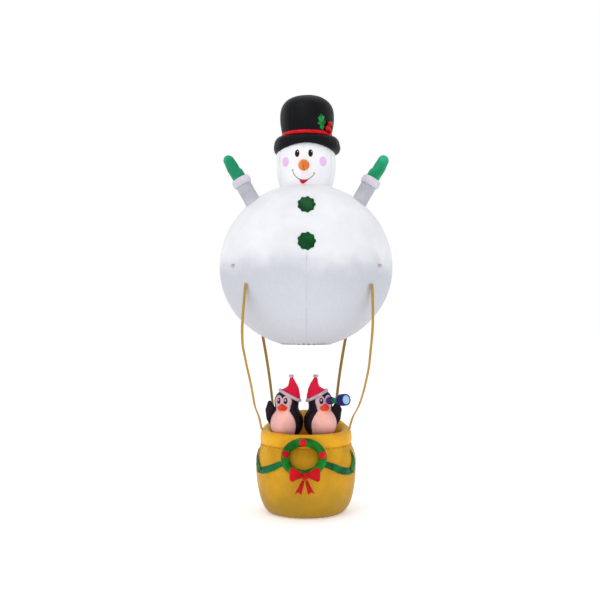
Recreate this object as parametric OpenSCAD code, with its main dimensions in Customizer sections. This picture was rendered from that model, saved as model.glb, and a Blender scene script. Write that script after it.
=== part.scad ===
// Inflatable yard decoration: a snowman shaped as a hot-air balloon over a basket with two penguins.
// The front faces -Y, +Z is up, and the origin is on the ground under the balloon's centre.

/* [Balloon] */
// Radius of the balloon at its widest
balloon_r = 760; // [740:1:780]
// Height of the balloon's widest line above the ground
balloon_z = 2136; // [2120:1:2150]
// Height of the balloon's dome above its widest line
balloon_up = 741; // [720:1:760]
// Depth that the balloon's lower curve would reach if it closed to a point
balloon_down = 700; // [690:1:710]
// Height of the flat panel under the balloon
balloon_floor_z = 1467; // [1460:1:1475]
// Thickness of the sewn fabric walls
skin = 3; // [2:0.5:5]

/* [Head] */
// Largest radius of the head
head_r = 262; // [250:1:270]
// Height of the head's widest line
head_z = 3062; // [3050:1:3075]
// Half height of the head's oval
head_half_h = 437; // [425:1:450]
// Turn of the face from straight ahead, in degrees
face_turn = -4.5; // [-10:0.5:10]

/* [Hat] */
// Height where the head ends and the hat's crown starts
crown_z = 3268; // [3262:1:3274]
// Radius at the foot of the crown
crown_foot_r = 218; // [214:1:220]
// Largest radius of the crown
crown_r = 239; // [230:1:245]
// Height of the crown's top, which is the height of the whole object
total_h = 3657; // [3640:1:3700]
// Sideways offset of the hat from the middle
hat_x = 9; // [0:1:12]
// Radius of the brim's middle line
brim_r = 262; // [260:1:268]

/* [Arms] */
// Radius of an arm
arm_r = 68; // [60:1:72]
// Lean of an arm from upright, in degrees
arm_lean = 29.6; // [25:0.5:33]
// Distance of an arm's foot from the middle
arm_x = 450; // [440:1:460]
// Height of an arm's foot
arm_z = 2682; // [2675:1:2690]
// Diameter of a coat button
button_d = 150; // [130:1:165]

/* [Basket] */
// Largest radius of the basket
basket_r = 437; // [430:1:445]
// Radius of the flat base
base_r = 300; // [290:1:310]
// Height of the basket's widest line
belly_z = 400; // [390:1:410]
// Height of the deck inside the rim
deck_z = 560; // [558:1:562]
// Radius of the rim roll's middle line
rim_r = 345; // [342:1:348]

/* [Penguins] */
// Distance of the penguins' row in front of the middle
penguin_y = 100; // [98:1:104]
// Turn of each penguin outward, in degrees
penguin_turn = 20; // [10:1:30]

/* [Blower] */
// Height of the blower's axis above the ground
blower_z = 200; // [190:1:210]
// Outer radius of the blower's housing
blower_r = 80; // [78:1:82]

/* [Anchors] */
// Radius of a stake hole
stake_hole_r = 8; // [7:0.5:9]
// Width of a strap
strap_w = 34; // [30:1:38]

/* [Hidden] */

$fn = 72;
gap = 0.3;
panel_t = 4;
balloon_floor_r = balloon_r * sqrt(1 - pow((balloon_z - balloon_floor_z) / balloon_down, 2));
air_hole_r = 195;
rim_z = 644;
rim_half_w = 55;
rim_half_h = 66;
rim_rear_rise = 71;
column_y = 112;
column_r = 98;
wreath_x = -22;
wreath_z = 532;
wreath_tube = 37;
bow_x = -14;
bow_z = 403;
tether_az = [-53, 53, -127, 127];
tether_out = 12;
ring_r = 20;
ring_wire = 2.4;
zip_az = -158;
zip_travel = 44;
zip_z = belly_z;
stake_az = [-125, -158, 158, 125];
stake_r = 402;
penguins = [[-169, -penguin_turn], [124, penguin_turn]];
penguin_head_r = 106;
penguin_head_z = 965;
hat_tilt = 27.5;
// Outline of a penguin from its foot to the top of its head, as radius and height
penguin_outline = [
  [72, deck_z], [84, 605], [91, 640], [96, 672], [112, 700], [129, 722], [141, 755], [145, 795],
  [141, 832], [129, 866], [113, 892], [103, 912], [102, 932], [105, 952],
  for (a = [0:15:90]) [penguin_head_r * cos(a), penguin_head_z + 3 + penguin_head_r * sin(a)]
];
telescope_start = [196, -196, 984];
telescope_way = [143, -170, 23];

// Strap routes from the balloon down to the basket's rim
strap_routes = [
  [[-500, -550, 1975], [-506, -549, 1920], [-512, -545, 1842], [-520, -536, 1760], [-526, -524, 1677],
   [-531, -506, 1600], [-531, -486, 1525], [-527, -460, 1452], [-514, -430, 1376], [-496, -384, 1274],
   [-475, -332, 1169], [-458, -272, 1063], [-444, -206, 955], [-428, -160, 895], [-410, -122, 840],
   [-396, -86, 775], [-386, -57, 717]],
  [[541, -512, 1975], [545, -514, 1920], [547, -513, 1842], [549, -508, 1760], [550, -498, 1677],
   [548, -484, 1600], [544, -466, 1525], [538, -443, 1452], [533, -416, 1376], [524, -376, 1274],
   [507, -328, 1169], [486, -270, 1063], [457, -206, 955], [433, -162, 895], [407, -120, 840],
   [388, -86, 775], [377, -57, 718]],
  [[-474, 572, 1975], [-468, 575, 1920], [-457, 570, 1842], [-446, 560, 1760], [-430, 542, 1677],
   [-415, 520, 1600], [-401, 494, 1525], [-387, 464, 1452], [-372, 434, 1376], [-354, 396, 1274],
   [-336, 350, 1169], [-320, 306, 1063], [-306, 268, 955], [-298, 248, 895], [-290, 230, 840],
   [-285, 216, 796]],
  [[453, 589, 1975], [447, 591, 1920], [437, 585, 1842], [424, 574, 1760], [408, 554, 1677],
   [392, 530, 1600], [377, 502, 1525], [362, 470, 1452], [347, 438, 1376], [328, 398, 1274],
   [310, 352, 1169], [294, 308, 1063], [280, 270, 955], [272, 250, 895], [264, 233, 840],
   [259, 220, 800]]
];
// Ribbon routes across the front of the basket, as azimuth in degrees and height
ribbon_left = [[-25, 478], [-31, 466], [-38, 440], [-45, 420], [-52, 405], [-60, 392], [-68, 392]];
ribbon_left_up = [[-64, 384], [-68, 425], [-72, 470], [-75, 520], [-76, 566]];
ribbon_right = [[18, 482], [25, 462], [33, 438], [41, 412], [49, 396], [57, 388], [65, 392]];
ribbon_right_up = [[61, 382], [64, 420], [66, 465], [66, 515], [64, 562]];

// ---- Curves ----

function unit(v) = v / norm(v);
function balloon_radius(z) =
  balloon_r * sqrt(1 - pow((z - balloon_z) / (z > balloon_z ? balloon_up : balloon_down), 2));
function basket_radius(z) = z < belly_z
  ? base_r + (basket_r - base_r) * sqrt(1 - pow((belly_z - z) / belly_z, 2))
  : basket_r - 37 * pow(max(0, z - 440) / 140, 2.2);

// A point at radius r, azimuth az from the front towards the right, and height z
function around(r, az, z) = [r * sin(az), -r * cos(az), z];

function balloon_outline(grow) = let (bottom = asin((balloon_z - balloon_floor_z) / balloon_down))
  [for (i = [0:16]) let (a = -bottom + i * bottom / 16)
    [(balloon_r + grow) * cos(a), balloon_z + (balloon_down + grow) * sin(a)]];
function dome_outline(grow) = let (top = acos(air_hole_r / balloon_r))
  [for (i = [1:16]) let (a = i * top / 16)
    [(balloon_r + grow) * cos(a), balloon_z + (balloon_up + grow) * sin(a)]];
function head_outline(grow) = [for (z = [crown_z - 18 * 24:24:crown_z])
  [grow + head_r * sqrt(1 - pow((z - head_z) / head_half_h, 2)), z]];
function crown_outline(grow) = let (top_h = total_h - 3459) concat(
  [[crown_foot_r + grow, crown_z + gap], [crown_foot_r + grow, 3296], [222 + grow, 3330],
   [229 + grow, 3365], [235 + grow, 3400], [238 + grow, 3430]],
  [for (a = [0:7.5:90]) [(crown_r + grow) * pow(cos(a), 2 / 2.6),
    3459 + (top_h + grow) * pow(sin(a), 2 / 2.6)]]);
function basket_outline(grow) = concat(
  [for (a = [0:7.5:90]) [base_r + (basket_r - base_r + grow) * sin(a), belly_z * (1 - cos(a))]],
  [for (z = [440:26:570]) [basket_radius(z) + grow, z]],
  [[397 + grow, 576], [372 + grow, 578]]);

// The same outline moved inward by t along its own normals
function inset(p, t) = [for (i = [0:len(p) - 1])
  let (a = p[max(0, i - 1)], b = p[min(len(p) - 1, i + 1)], d = unit(b - a))
    [max(0, p[i][0] - t * d[1]), p[i][1] + t * d[0]]];
function backwards(p) = [for (i = [len(p) - 1:-1:0]) p[i]];
function closed_to_axis(p) =
  concat([[0, p[0][1]]], p, [[0, p[len(p) - 1][1]]]);

module revolve(p) rotate_extrude(convexity = 6) polygon(p);
module solid_of(p) revolve(closed_to_axis(p));
module shell_of(p, t) revolve(concat(p, backwards(inset(p, t))));

module balloon_solid(grow = 0) solid_of(concat(balloon_outline(grow), dome_outline(grow)));
module head_solid(grow = 0) solid_of(head_outline(grow));
module crown_solid(grow = 0) solid_of(crown_outline(grow));
module basket_solid(grow = 0) solid_of(basket_outline(grow));

// ---- Sweeps ----

// A solid through rings of points; every ring has the same count
module swept(rings, closed = false) {
  n = len(rings[0]);
  m = len(rings);
  last = closed ? m - 1 : m - 2;
  sides = [for (i = [0:last], j = [0:n - 1])
    let (k = (i + 1) % m, l = (j + 1) % n)
      each [[i * n + j, i * n + l, k * n + l], [i * n + j, k * n + l, k * n + j]]];
  caps = closed ? [] : [[for (j = [n - 1:-1:0]) j], [for (j = [0:n - 1]) (m - 1) * n + j]];
  polyhedron(points = [for (r = rings) each r], faces = concat(sides, caps), convexity = 8);
}

function oval_ring(centre, u, v, a, b, n) =
  [for (i = [0:n - 1]) centre + u * a * cos(360 * i / n) + v * b * sin(360 * i / n)];

function tangent(p, i) = unit(p[min(len(p) - 1, i + 1)] - p[max(0, i - 1)]);

// A flat band along route p, with its width across direction across[i]
function band_rings(p, across, w, t, n = 8) = [for (i = [0:len(p) - 1])
  let (way = tangent(p, i), u = unit(across[i]), v = unit(cross(way, u)))
    oval_ring(p[i], u, v, w[i] / 2, t / 2, n)];

module strap(k) {
  route = strap_routes[k];
  sideways = [for (q = route) k < 2 ? around(1, k == 0 ? 43 : 137, 0) : [-q[1], q[0], 0]];
  swept(band_rings(route, sideways, [for (q = route) strap_w], 5));
}

// ---- Basket ----

module basket_shell() color("goldenrod") {
  difference() {
    shell_of(basket_outline(0), skin);
    along_y(300) linear_extrude(height = 200)
      polygon([for (i = [0:15]) (blower_r + 5) * [cos(i * 22.5), sin(i * 22.5)]]);
  }
  // The sleeve that the blower's neck sits in
  difference() {
    along_y(370) cylinder(r = blower_r + 3.7, h = 61.7);
    along_y(360) cylinder(r = blower_r + 0.6, h = 80);
  }
}

module basket_base() color("darkgoldenrod") cylinder(r = base_r - skin - gap, h = panel_t);

module basket_deck() color("goldenrod")
  translate([0, 0, deck_z - panel_t]) cylinder(r = basket_radius(deck_z) - skin - 1, h = panel_t);

function rim_lift(a) = pow((1 - cos(a)) / 2, 3);
function rim_half(a) = rim_half_h + rim_rear_rise * rim_lift(a);
function rim_mid(a) = rim_z + 0.5 + rim_rear_rise * rim_lift(a);

// The roll is fuller on its outer side, where it meets the wall
function rim_ring(az) = let (out = around(1, az, 0)) [for (i = [0:15]) let (a = i * 22.5, c = cos(a), s = sin(a),
    k = c > 0 ? pow(pow(abs(c), 3) + pow(abs(s), 3), -1 / 3) : 1)
  around(rim_r, az, rim_mid(az)) + out * rim_half_w * c * k + [0, 0, rim_half(az) * s * k]];
module basket_rim() color("gold") swept([for (i = [0:47]) rim_ring(i * 7.5)], closed = true);

module ballast_bag() color("dimgray")
  translate([0, -60, panel_t]) intersection() {
    cylinder(r = 130, h = 46);
    translate([0, 0, -40]) sphere(r = 152);
  }

module zipper_tape() color("darkgoldenrod") rotate([0, 0, zip_az - 90 - 4])
  rotate_extrude(angle = zip_travel + 8) translate([basket_r + gap, zip_z - 12]) square([1.4, 24]);

module ribbon(p, w, lift) {
  route = [for (q = p) around(basket_radius(q[1]) + lift, q[0], q[1])];
  across = [for (i = [0:len(p) - 1]) cross(tangent(route, i), around(1, p[i][0], 0))];
  swept(band_rings(route, across, w, 3, 6));
}
module ribbon_swag() color("seagreen") {
  ribbon(ribbon_left, [44, 50, 56, 60, 60, 56, 50], 3.6);
  ribbon(ribbon_left_up, [80, 74, 58, 36, 14], 8.2);
  ribbon(ribbon_right, [46, 52, 60, 62, 60, 56, 50], 3.6);
  ribbon(ribbon_right_up, [80, 72, 56, 34, 12], 8.2);
}

// The wreath leans back a little as it rises against the basket
function wreath_depth(z) = 481 - 0.07 * (z - 365);
function wreath_point(a) = let (x = wreath_x + 155 * sin(a), z = wreath_z + 130 * cos(a))
  [x, -sqrt(pow(wreath_depth(z), 2) - x * x), z];
berry_angles = [-2, -75, 78];
berry_r = 33;
// Each length of the wreath between two berries, as its first and last angle
wreath_lengths = [[-60, -15], [11, 63], [93, 270]];
function wreath_end(t) = 1 - 0.22 * pow(1 - min(1, 8 * min(t, 1 - t)), 2);
module wreath_ring() color("forestgreen") for (w = wreath_lengths) let (n = round((w[1] - w[0]) / 5))
  swept([for (i = [0:n]) let (a = w[0] + (w[1] - w[0]) * i / n, out = unit([155 * sin(a), 0, 130 * cos(a)]),
      r = wreath_tube * wreath_end(i / n))
    oval_ring(wreath_point(a), out, [0, -1, 0], r, r, 12)]);
module wreath_berries() color("crimson") for (a = berry_angles)
  translate(wreath_point(a) + [0, -24, 0]) sphere(r = berry_r, $fn = 32);

module bow_loops() color("red") translate([bow_x, -546, bow_z]) for (side = [-1, 1]) hull() {
  translate([side * 24, 0, 2]) sphere(r = 17, $fn = 24);
  translate([side * 102, 0, 38]) sphere(r = 28, $fn = 24);
  translate([side * 104, 0, -28]) sphere(r = 25, $fn = 24);
}
module bow_tails() color("firebrick") {
  translate([bow_x, -567, bow_z - 4]) rotate([90, 0, 0]) cylinder(r = 26, h = 12);
  translate([bow_x, -567, bow_z - 36]) rotate([22, 0, 0]) for (side = [-1, 1])
    mirror([side < 0 ? 1 : 0, 0, 0]) rotate([90, 0, 0]) linear_extrude(height = 4)
      polygon([[2, 0], [24, 0], [84, -130], [58, -114], [26, -138], [6, -34]]);
}

module stake_tabs() color("goldenrod") for (az = stake_az) rotate([0, 0, az]) difference() {
  translate([-25, -425, 0]) cube([50, 105, 3]);
  translate([0, -stake_r, -1]) cylinder(r = 11.1, h = 6);
}
module stake_grommets() color("silver") for (az = stake_az)
  translate(around(stake_r, az, 0)) rotate_extrude()
    polygon([[stake_hole_r, 0], [11, 0], [11, 3.1], [14, 3.1], [13.4, 4.5], [stake_hole_r, 4.5]]);

// ---- Blower ----

module along_y(y) translate([0, y, blower_z]) rotate([-90, 0, 0]) children();

module blower_housing() color("whitesmoke") difference() {
  union() {
    along_y(300) cylinder(r = blower_r, h = 152);
    along_y(432) cylinder(r = blower_r + 16, h = 6);
  }
  along_y(304) cylinder(r = blower_r - 4, h = 160);
  for (i = [0:5]) along_y(298) rotate([0, 0, i * 60]) translate([52, 0, 0]) cylinder(r = 16, h = 8);
}
module blower_motor() color("dimgray") {
  along_y(304) cylinder(r = 28, h = 84);
  along_y(388) cylinder(r = 4, h = 36);
}
module blower_impeller() color("slategray") difference() {
  union() {
    along_y(396) cylinder(r = 22, h = 28);
    for (i = [0:6]) along_y(410) rotate([0, 0, i * 360 / 7])
      translate([20, 0, 0]) rotate([40, 0, 0]) translate([0, -1.2, -14]) cube([49, 2.4, 28]);
  }
  along_y(390) cylinder(r = 4.06, h = 40);
}
module blower_grille() color("lightgray") difference() {
  union() {
    for (r = [16, 28, 40, 52, 64]) along_y(445) difference() {
      cylinder(r = r + 1.6, h = 4);
      translate([0, 0, -1]) cylinder(r = r - 1.6, h = 6);
    }
    along_y(444.6) difference() {
      cylinder(r = blower_r - 4.3, h = 5);
      translate([0, 0, -1]) cylinder(r = blower_r - 9, h = 7);
    }
    for (i = [0:5]) along_y(446) rotate([0, 0, i * 60 + 30]) translate([8, -2, 0]) cube([64, 4, 2]);
    along_y(444.6) cylinder(r = 11, h = 4.4);
    along_y(444.6) translate([0, 58, 0]) cylinder(r = 14.5, h = 4.4);
  }
  along_y(440) translate([0, 58, 0]) cylinder(r = 7.1, h = 14);
}
module cord_gland() color("black") along_y(442) translate([0, 58, 0]) difference() {
  union() {
    cylinder(r = 7, h = 28);
    translate([0, 0, 7.2]) cylinder(r = 10, h = 7);
  }
  translate([0, 0, -1]) cylinder(r = 3.5, h = 30);
}
module lock_ring() color("gray") along_y(438.4) difference() {
  cylinder(r = blower_r + 15, h = 12);
  translate([0, 0, -1]) cylinder(r = blower_r + 0.5, h = 14);
  for (i = [0:11]) rotate([0, 0, i * 30]) translate([blower_r + 19, 0, -1]) cylinder(r = 7, h = 14);
}

// ---- Zipper ----

module at_zip() rotate([0, 0, zip_az]) translate([0, -basket_r, zip_z]) children();
bail_out = 12;
module zipper_slider() color("silver") at_zip() {
  translate([-6, -8, -10]) cube([12, 6, 20]);
  for (x = [-6, 3.6]) translate([x, -14, 3]) cube([2.4, 6, 6]);
  translate([-6, -bail_out, 6]) rotate([0, 90, 0]) cylinder(r = 1.3, h = 12);
}
module zipper_pull() color("silver") at_zip() difference() {
  union() {
    translate([-3.2, -bail_out - 1.3, -32]) cube([6.4, 2.6, 38]);
    translate([-3.2, -bail_out, 6]) rotate([0, 90, 0]) cylinder(r = 3, h = 6.4);
  }
  translate([-5, -bail_out, 6]) rotate([0, 90, 0]) cylinder(r = 1.6, h = 10);
}

// ---- Air column and lamps ----

module air_column() color("aliceblue", 0.3) translate([0, column_y, deck_z + gap]) difference() {
  cylinder(r = column_r, h = balloon_floor_z - deck_z - 2 * gap);
  translate([0, 0, -1]) cylinder(r = column_r - 1.5, h = 1000);
}
module lamp() {
  cylinder(r = 12, h = 26);
  translate([0, 0, 26]) cylinder(r1 = 12, r2 = 20, h = 10);
  translate([0, 0, 36]) intersection() {
    sphere(r = 20);
    translate([-25, -25, 0]) cube([50, 50, 50]);
  }
}
module lower_lamps() color("ivory") {
  for (p = penguins) translate([p[0], -penguin_y, deck_z + skin]) lamp();
  translate([0, -60, panel_t + 46]) lamp();
}
module upper_lamp() color("ivory") translate([0, -80, balloon_floor_z + panel_t]) lamp();

// ---- Penguins ----

module penguin_solid(grow = 0) solid_of([for (q = penguin_outline) [q[0] + (q[0] > 1 ? grow : 0),
  q[1] + (q[1] > penguin_head_z ? grow * (q[1] - penguin_head_z) / penguin_head_r : 0)]]);
module penguin_body(k) color("black") translate([penguins[k][0], -penguin_y, 0]) difference() {
  penguin_solid();
  solid_of([for (q = inset(penguin_outline, skin)) [q[0], max(q[1], deck_z + skin)]]);
}
module penguin_left() penguin_body(0);
module penguin_right() penguin_body(1);

// A thin patch on a penguin's skin, cut out by its children seen from its own front
module on_penguin(k, thick) translate([penguins[k][0], -penguin_y, 0]) intersection() {
  difference() {
    penguin_solid(thick);
    penguin_solid(gap);
  }
  rotate([0, 0, penguins[k][1]]) rotate([90, 0, 0]) linear_extrude(height = 220) children();
}
function oval(a, b, n = 24) = [for (i = [0:n - 1]) [a * cos(360 * i / n), b * sin(360 * i / n)]];
module penguin_bellies() color("mistyrose") for (k = [0, 1]) on_penguin(k, 2.5)
  polygon([[-70, 700], [70, 700], [112, 745], [116, 800], [100, 850], [66, 896], [-66, 896],
           [-100, 850], [-116, 800], [-112, 745]]);
module penguin_faces() color("lavenderblush") for (k = [0, 1]) on_penguin(k, 2.5) difference() {
  union() {
    translate([-36, 975]) polygon(oval(38, 46));
    translate([36, 975]) polygon(oval(38, 46));
    translate([-66, 896.5]) square([132, 60]);
  }
  for (x = [-30, 28]) translate([x, 986]) polygon(oval(17, 24));
}
module penguin_eyes() color("black") for (k = [0, 1]) on_penguin(k, 3.5)
  for (x = [-30, 28]) translate([x, 986]) polygon(oval(16, 23));

module penguin_beaks() color("tomato") for (k = [0, 1])
  translate([penguins[k][0], -penguin_y, 930]) rotate([0, 0, penguins[k][1]]) difference() {
    hull() {
      for (side = [-1, 1]) translate([side * 34, -96, 0]) sphere(r = 9, $fn = 24);
      translate([0, -96, 18]) sphere(r = 12, $fn = 24);
      translate([0, -140, -6]) sphere(r = 16, $fn = 24);
      translate([0, -104, -16]) sphere(r = 14, $fn = 24);
    }
    translate([0, 0, -930]) penguin_solid(3);
  }

module penguin_flippers() color("black") for (k = [0, 1]) let (side = k == 0 ? -1 : 1)
  translate([penguins[k][0], -penguin_y, 0]) difference() {
    hull() {
      translate([side * 150, 0, 958]) sphere(r = 24, $fn = 24);
      translate([side * 157, 0, 890]) sphere(r = 30, $fn = 24);
      translate([side * 130, 0, 800]) sphere(r = 24, $fn = 24);
    }
    penguin_solid(gap);
  }

// The tilted plane of a penguin's hat trim
module hat_plane(k) let (side = k == 0 ? 1 : -1)
  translate([penguins[k][0], -penguin_y, penguin_head_z + 3]) rotate([0, side * hat_tilt, 0])
    translate([0, 0, 61.8]) children();
module hat_cone(k) let (side = k == 0 ? 1 : -1) hull() {
  hat_plane(k) translate([0, 0, 12.6]) cylinder(r = 92, h = 4, $fn = 32);
  hat_plane(k) translate([side * -12, 0, 60]) cylinder(r = 74, h = 4, $fn = 32);
  translate([penguins[k][0] + side * 42, -penguin_y, 1162]) sphere(r = 14, $fn = 24);
}
module penguin_hats() color("crimson") for (k = [0, 1]) difference() {
  hat_cone(k);
  translate([penguins[k][0], -penguin_y, 0]) penguin_solid(gap);
}
module penguin_hat_trims() color("gainsboro") for (k = [0, 1]) let (side = k == 0 ? 1 : -1) {
  difference() {
    hat_plane(k) rotate_extrude() translate([99.5, 0]) circle(r = 12);
    translate([penguins[k][0], -penguin_y, 0]) penguin_solid(gap + 3.5);
  }
  translate([penguins[k][0] + side * 40, -penguin_y, 1196]) sphere(r = 19.5);
}

// ---- Telescope ----

module telescope_frame(d) translate(telescope_start + unit(telescope_way) * d)
  rotate([0, acos(unit(telescope_way)[2]), atan2(telescope_way[1], telescope_way[0])]) children();
module telescope_eyepiece() color("purple") difference() {
  telescope_frame(0) cylinder(r = 29, h = 42);
  translate([penguins[1][0], -penguin_y, 0]) penguin_solid(4);
}
module telescope_tube() color("seagreen") telescope_frame(42 + gap) cylinder(r1 = 22, r2 = 27, h = 98);
module telescope_objective() color("midnightblue") telescope_frame(141) difference() {
  cylinder(r = 50, h = 80);
  translate([0, 0, 66]) cylinder(r = 40, h = 20);
}
module telescope_lens() color("lightblue") telescope_frame(141 + 66.3) cylinder(r = 39.6, h = 16);

// ---- Straps ----

module strap_front_left() color("goldenrod") strap(0);
module strap_front_right() color("goldenrod") strap(1);
module strap_rear_left() color("goldenrod") strap(2);
module strap_rear_right() color("goldenrod") strap(3);

// ---- Balloon ----

module balloon_shell() color("white") shell_of(concat(balloon_outline(0), dome_outline(0)), skin);
module balloon_floor() color("whitesmoke")
  translate([0, 0, balloon_floor_z]) cylinder(r = balloon_floor_r - 2 * skin - 6, h = panel_t);

module head_shell() color("white") difference() {
  solid_of(head_outline(0));
  solid_of([for (q = head_outline(-skin)) [q[0], min(q[1], crown_z - skin)]]);
  translate([0, 0, crown_z - skin - 1]) cylinder(r = air_hole_r, h = skin + 2);
  balloon_solid(gap);
}
module hat_crown() color("black") translate([hat_x, 0, 0]) shell_of(crown_outline(0), skin);
module hat_band() color("red") translate([hat_x, 0, 0]) rotate_extrude()
  translate([crown_foot_r + 3, 3290]) square([4.5, 28]);

// The brim droops at the sides, and its top leans inward there
function brim_ring(az) = let (drop = pow(sin(az), 2), lean = 16 * drop, out = around(1, az, 0))
  oval_ring(around(brim_r - 16 * drop, az, 3232 - 22 * drop), out * cos(lean) + [0, 0, sin(lean)],
    [0, 0, cos(lean)] - out * sin(lean), 36 + 2 * drop, 36 + 42 * drop, 12);
module hat_brim() color("black") difference() {
  translate([hat_x, 0, 0]) swept([for (i = [0:39]) brim_ring(i * 9)], closed = true);
  head_solid(gap);
  translate([hat_x, 0, crown_z - 60]) cylinder(r = crown_foot_r + 6, h = 160);
}

// A thin patch on the hat's crown, at an azimuth
module on_crown(az, thick) translate([hat_x, 0, 0]) intersection() {
  difference() {
    crown_solid(thick);
    crown_solid(gap);
  }
  rotate([0, 0, az]) rotate([90, 0, 0]) linear_extrude(height = 300) children();
}
module holly_leaf(l, w) polygon([[0, 0], [w * 0.55, l * 0.18], [w * 0.4, l * 0.3], [w, l * 0.45],
  [w * 0.6, l * 0.6], [w * 0.7, l * 0.78], [0, l], [-w * 0.7, l * 0.78], [-w * 0.6, l * 0.6],
  [-w, l * 0.45], [-w * 0.4, l * 0.3], [-w * 0.55, l * 0.18]]);
module holly_leaves() color("forestgreen") {
  on_crown(35, 6) translate([6, 3321]) rotate([0, 0, 8]) holly_leaf(142, 42);
  on_crown(67, 6) translate([-4, 3345]) rotate([0, 0, -18]) holly_leaf(118, 32);
}
// Each berry's azimuth, height, radius and distance from the hat's axis
holly_spots = [[52, 3381, 22, 245], [47, 3339, 24, 238], [57, 3319, 19, 233]];
module holly_berries() color("red") translate([hat_x, 0, 0]) for (b = holly_spots)
  rotate([0, 0, b[0]]) translate([0, -b[3], b[1]]) rotate([90, 0, 0]) rotate_extrude()
    polygon(concat([[0, 0]], [for (a = [-20:10:90]) b[2] * [cos(a), sin(a) + sin(20)]]));

module on_head(az, thick) intersection() {
  difference() {
    head_solid(thick);
    head_solid(gap);
  }
  rotate([0, 0, az + face_turn]) rotate([90, 0, 0]) linear_extrude(height = 300) children();
}
function arc_band(r, w, from, to) = concat(
  [for (a = [from:8:to]) [(r + w / 2) * cos(a), (r + w / 2) * sin(a)]],
  [for (a = [to:-8:from]) [(r - w / 2) * cos(a), (r - w / 2) * sin(a)]]);
module snowman_face() color("dimgray") {
  for (az = [-12.8, 12.8]) on_head(az, 3) translate([0, 3106]) polygon(oval(19.5, 31));
  for (az = [-38.5, 38.5]) on_head(az, 2.5) translate([0, 3043]) polygon(oval(38, 40));
  on_head(0, 2.5) translate([0, 2978]) polygon(arc_band(98, 6, 188, 334));
  on_head(0, 2.5) translate([-8, 2876]) polygon([for (a = [180:12:360]) [46 * cos(a), 28 * sin(a)]]);
}
module carrot_nose() color("darkorange") rotate([0, 0, face_turn]) difference() {
  translate([0, -240, 3006]) rotate([90, 0, 0]) union() {
    cylinder(r1 = 50, r2 = 16, h = 118);
    translate([0, 0, 113]) sphere(r = 16.6);
  }
  head_solid(gap);
}

module coat_button(z) intersection() {
  difference() {
    balloon_solid(15);
    balloon_solid(gap);
  }
  translate([0, 0, z - 200]) cylinder(r = balloon_r, h = 400);
  translate([0, 0, z]) rotate([90, 0, 0]) linear_extrude(height = 800)
    polygon([for (i = [0:59]) let (a = i * 6, r = button_d / 2 - 3.5 + 3.5 * cos(9 * a)) [r * cos(a), r * sin(a)]]);
}
module coat_buttons() color("darkgreen") {
  coat_button(2627);
  coat_button(2311);
}

module arm_frame(side) translate([side * arm_x, -150, arm_z]) rotate([0, side * arm_lean, 0]) children();
module snowman_arms() color("lightsteelblue") for (side = [-1, 1]) difference() {
  arm_frame(side) translate([0, 0, -120]) cylinder(r = arm_r, h = 322);
  arm_frame(side) translate([0, 0, -130]) cylinder(r = arm_r - skin, h = 340);
  balloon_solid(gap);
}
module arm_cuffs() color("lavender") for (side = [-1, 1]) arm_frame(side) translate([0, 0, 222])
  rotate_extrude() translate([arm_r + gap, 0])
    polygon([for (a = [-90:15:90]) [14 * cos(a), 35 * sin(a)]]);
module mittens() color("mediumseagreen") for (side = [-1, 1]) arm_frame(side) difference() {
  union() {
    hull() {
      translate([0, 0, 262]) sphere(r = 60, $fn = 32);
      translate([side * 4, 0, 441]) sphere(r = 54, $fn = 32);
    }
    hull() {
      translate([side * -26, 0, 290]) sphere(r = 30, $fn = 24);
      translate([side * -56, 0, 330]) sphere(r = 18, $fn = 24);
    }
  }
  translate([0, 0, 140]) cylinder(r = 100, h = 62.4);
}

// ---- Tether points ----

module tether_frame(k) rotate([0, 0, tether_az[k]]) translate([0, -balloon_r - tether_out, balloon_z]) children();
module tether_tabs() color("hotpink") for (k = [0:3]) tether_frame(k) difference() {
  translate([-11, -5, -4]) cube([22, 5 + tether_out - 0.2, 8]);
  translate([-20, 0, 0]) rotate([0, 90, 0]) cylinder(r = ring_wire + 0.4, h = 40);
}
module tether_ring(k) color("silver") tether_frame(k) {
  translate([-ring_r, 0, 0]) rotate([0, 90, 0]) cylinder(r = ring_wire, h = 2 * ring_r);
  for (side = [-1, 1]) translate([side * ring_r, 0, 0]) sphere(r = ring_wire);
  rotate([-90, 0, 0]) rotate_extrude(angle = 180) translate([ring_r, 0]) circle(r = ring_wire, $fn = 24);
}
module tether_ring_front_left() tether_ring(0);
module tether_ring_front_right() tether_ring(1);
module tether_ring_rear_left() tether_ring(2);
module tether_ring_rear_right() tether_ring(3);

basket_shell();
basket_base();
basket_deck();
basket_rim();
ballast_bag();
zipper_tape();
ribbon_swag();
wreath_ring();
wreath_berries();
bow_loops();
bow_tails();
stake_tabs();
stake_grommets();
blower_housing();
blower_motor();
blower_grille();
cord_gland();
blower_impeller();
lock_ring();
zipper_slider();
zipper_pull();
air_column();
lower_lamps();
penguin_left();
penguin_right();
penguin_bellies();
penguin_faces();
penguin_eyes();
penguin_beaks();
penguin_flippers();
penguin_hats();
penguin_hat_trims();
telescope_eyepiece();
telescope_tube();
telescope_objective();
telescope_lens();
strap_front_left();
strap_front_right();
strap_rear_left();
strap_rear_right();
balloon_shell();
balloon_floor();
head_shell();
hat_crown();
hat_brim();
hat_band();
holly_leaves();
holly_berries();
snowman_face();
carrot_nose();
coat_buttons();
snowman_arms();
arm_cuffs();
mittens();
tether_tabs();
upper_lamp();
tether_ring_front_left();
tether_ring_front_right();
tether_ring_rear_left();
tether_ring_rear_right();
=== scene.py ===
from math import asin, atan2, cos, degrees, exp, hypot, pi, radians, sin, sqrt

import bmesh
import bpy
import numpy as np
from mathutils import Matrix, Vector, noise


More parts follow.
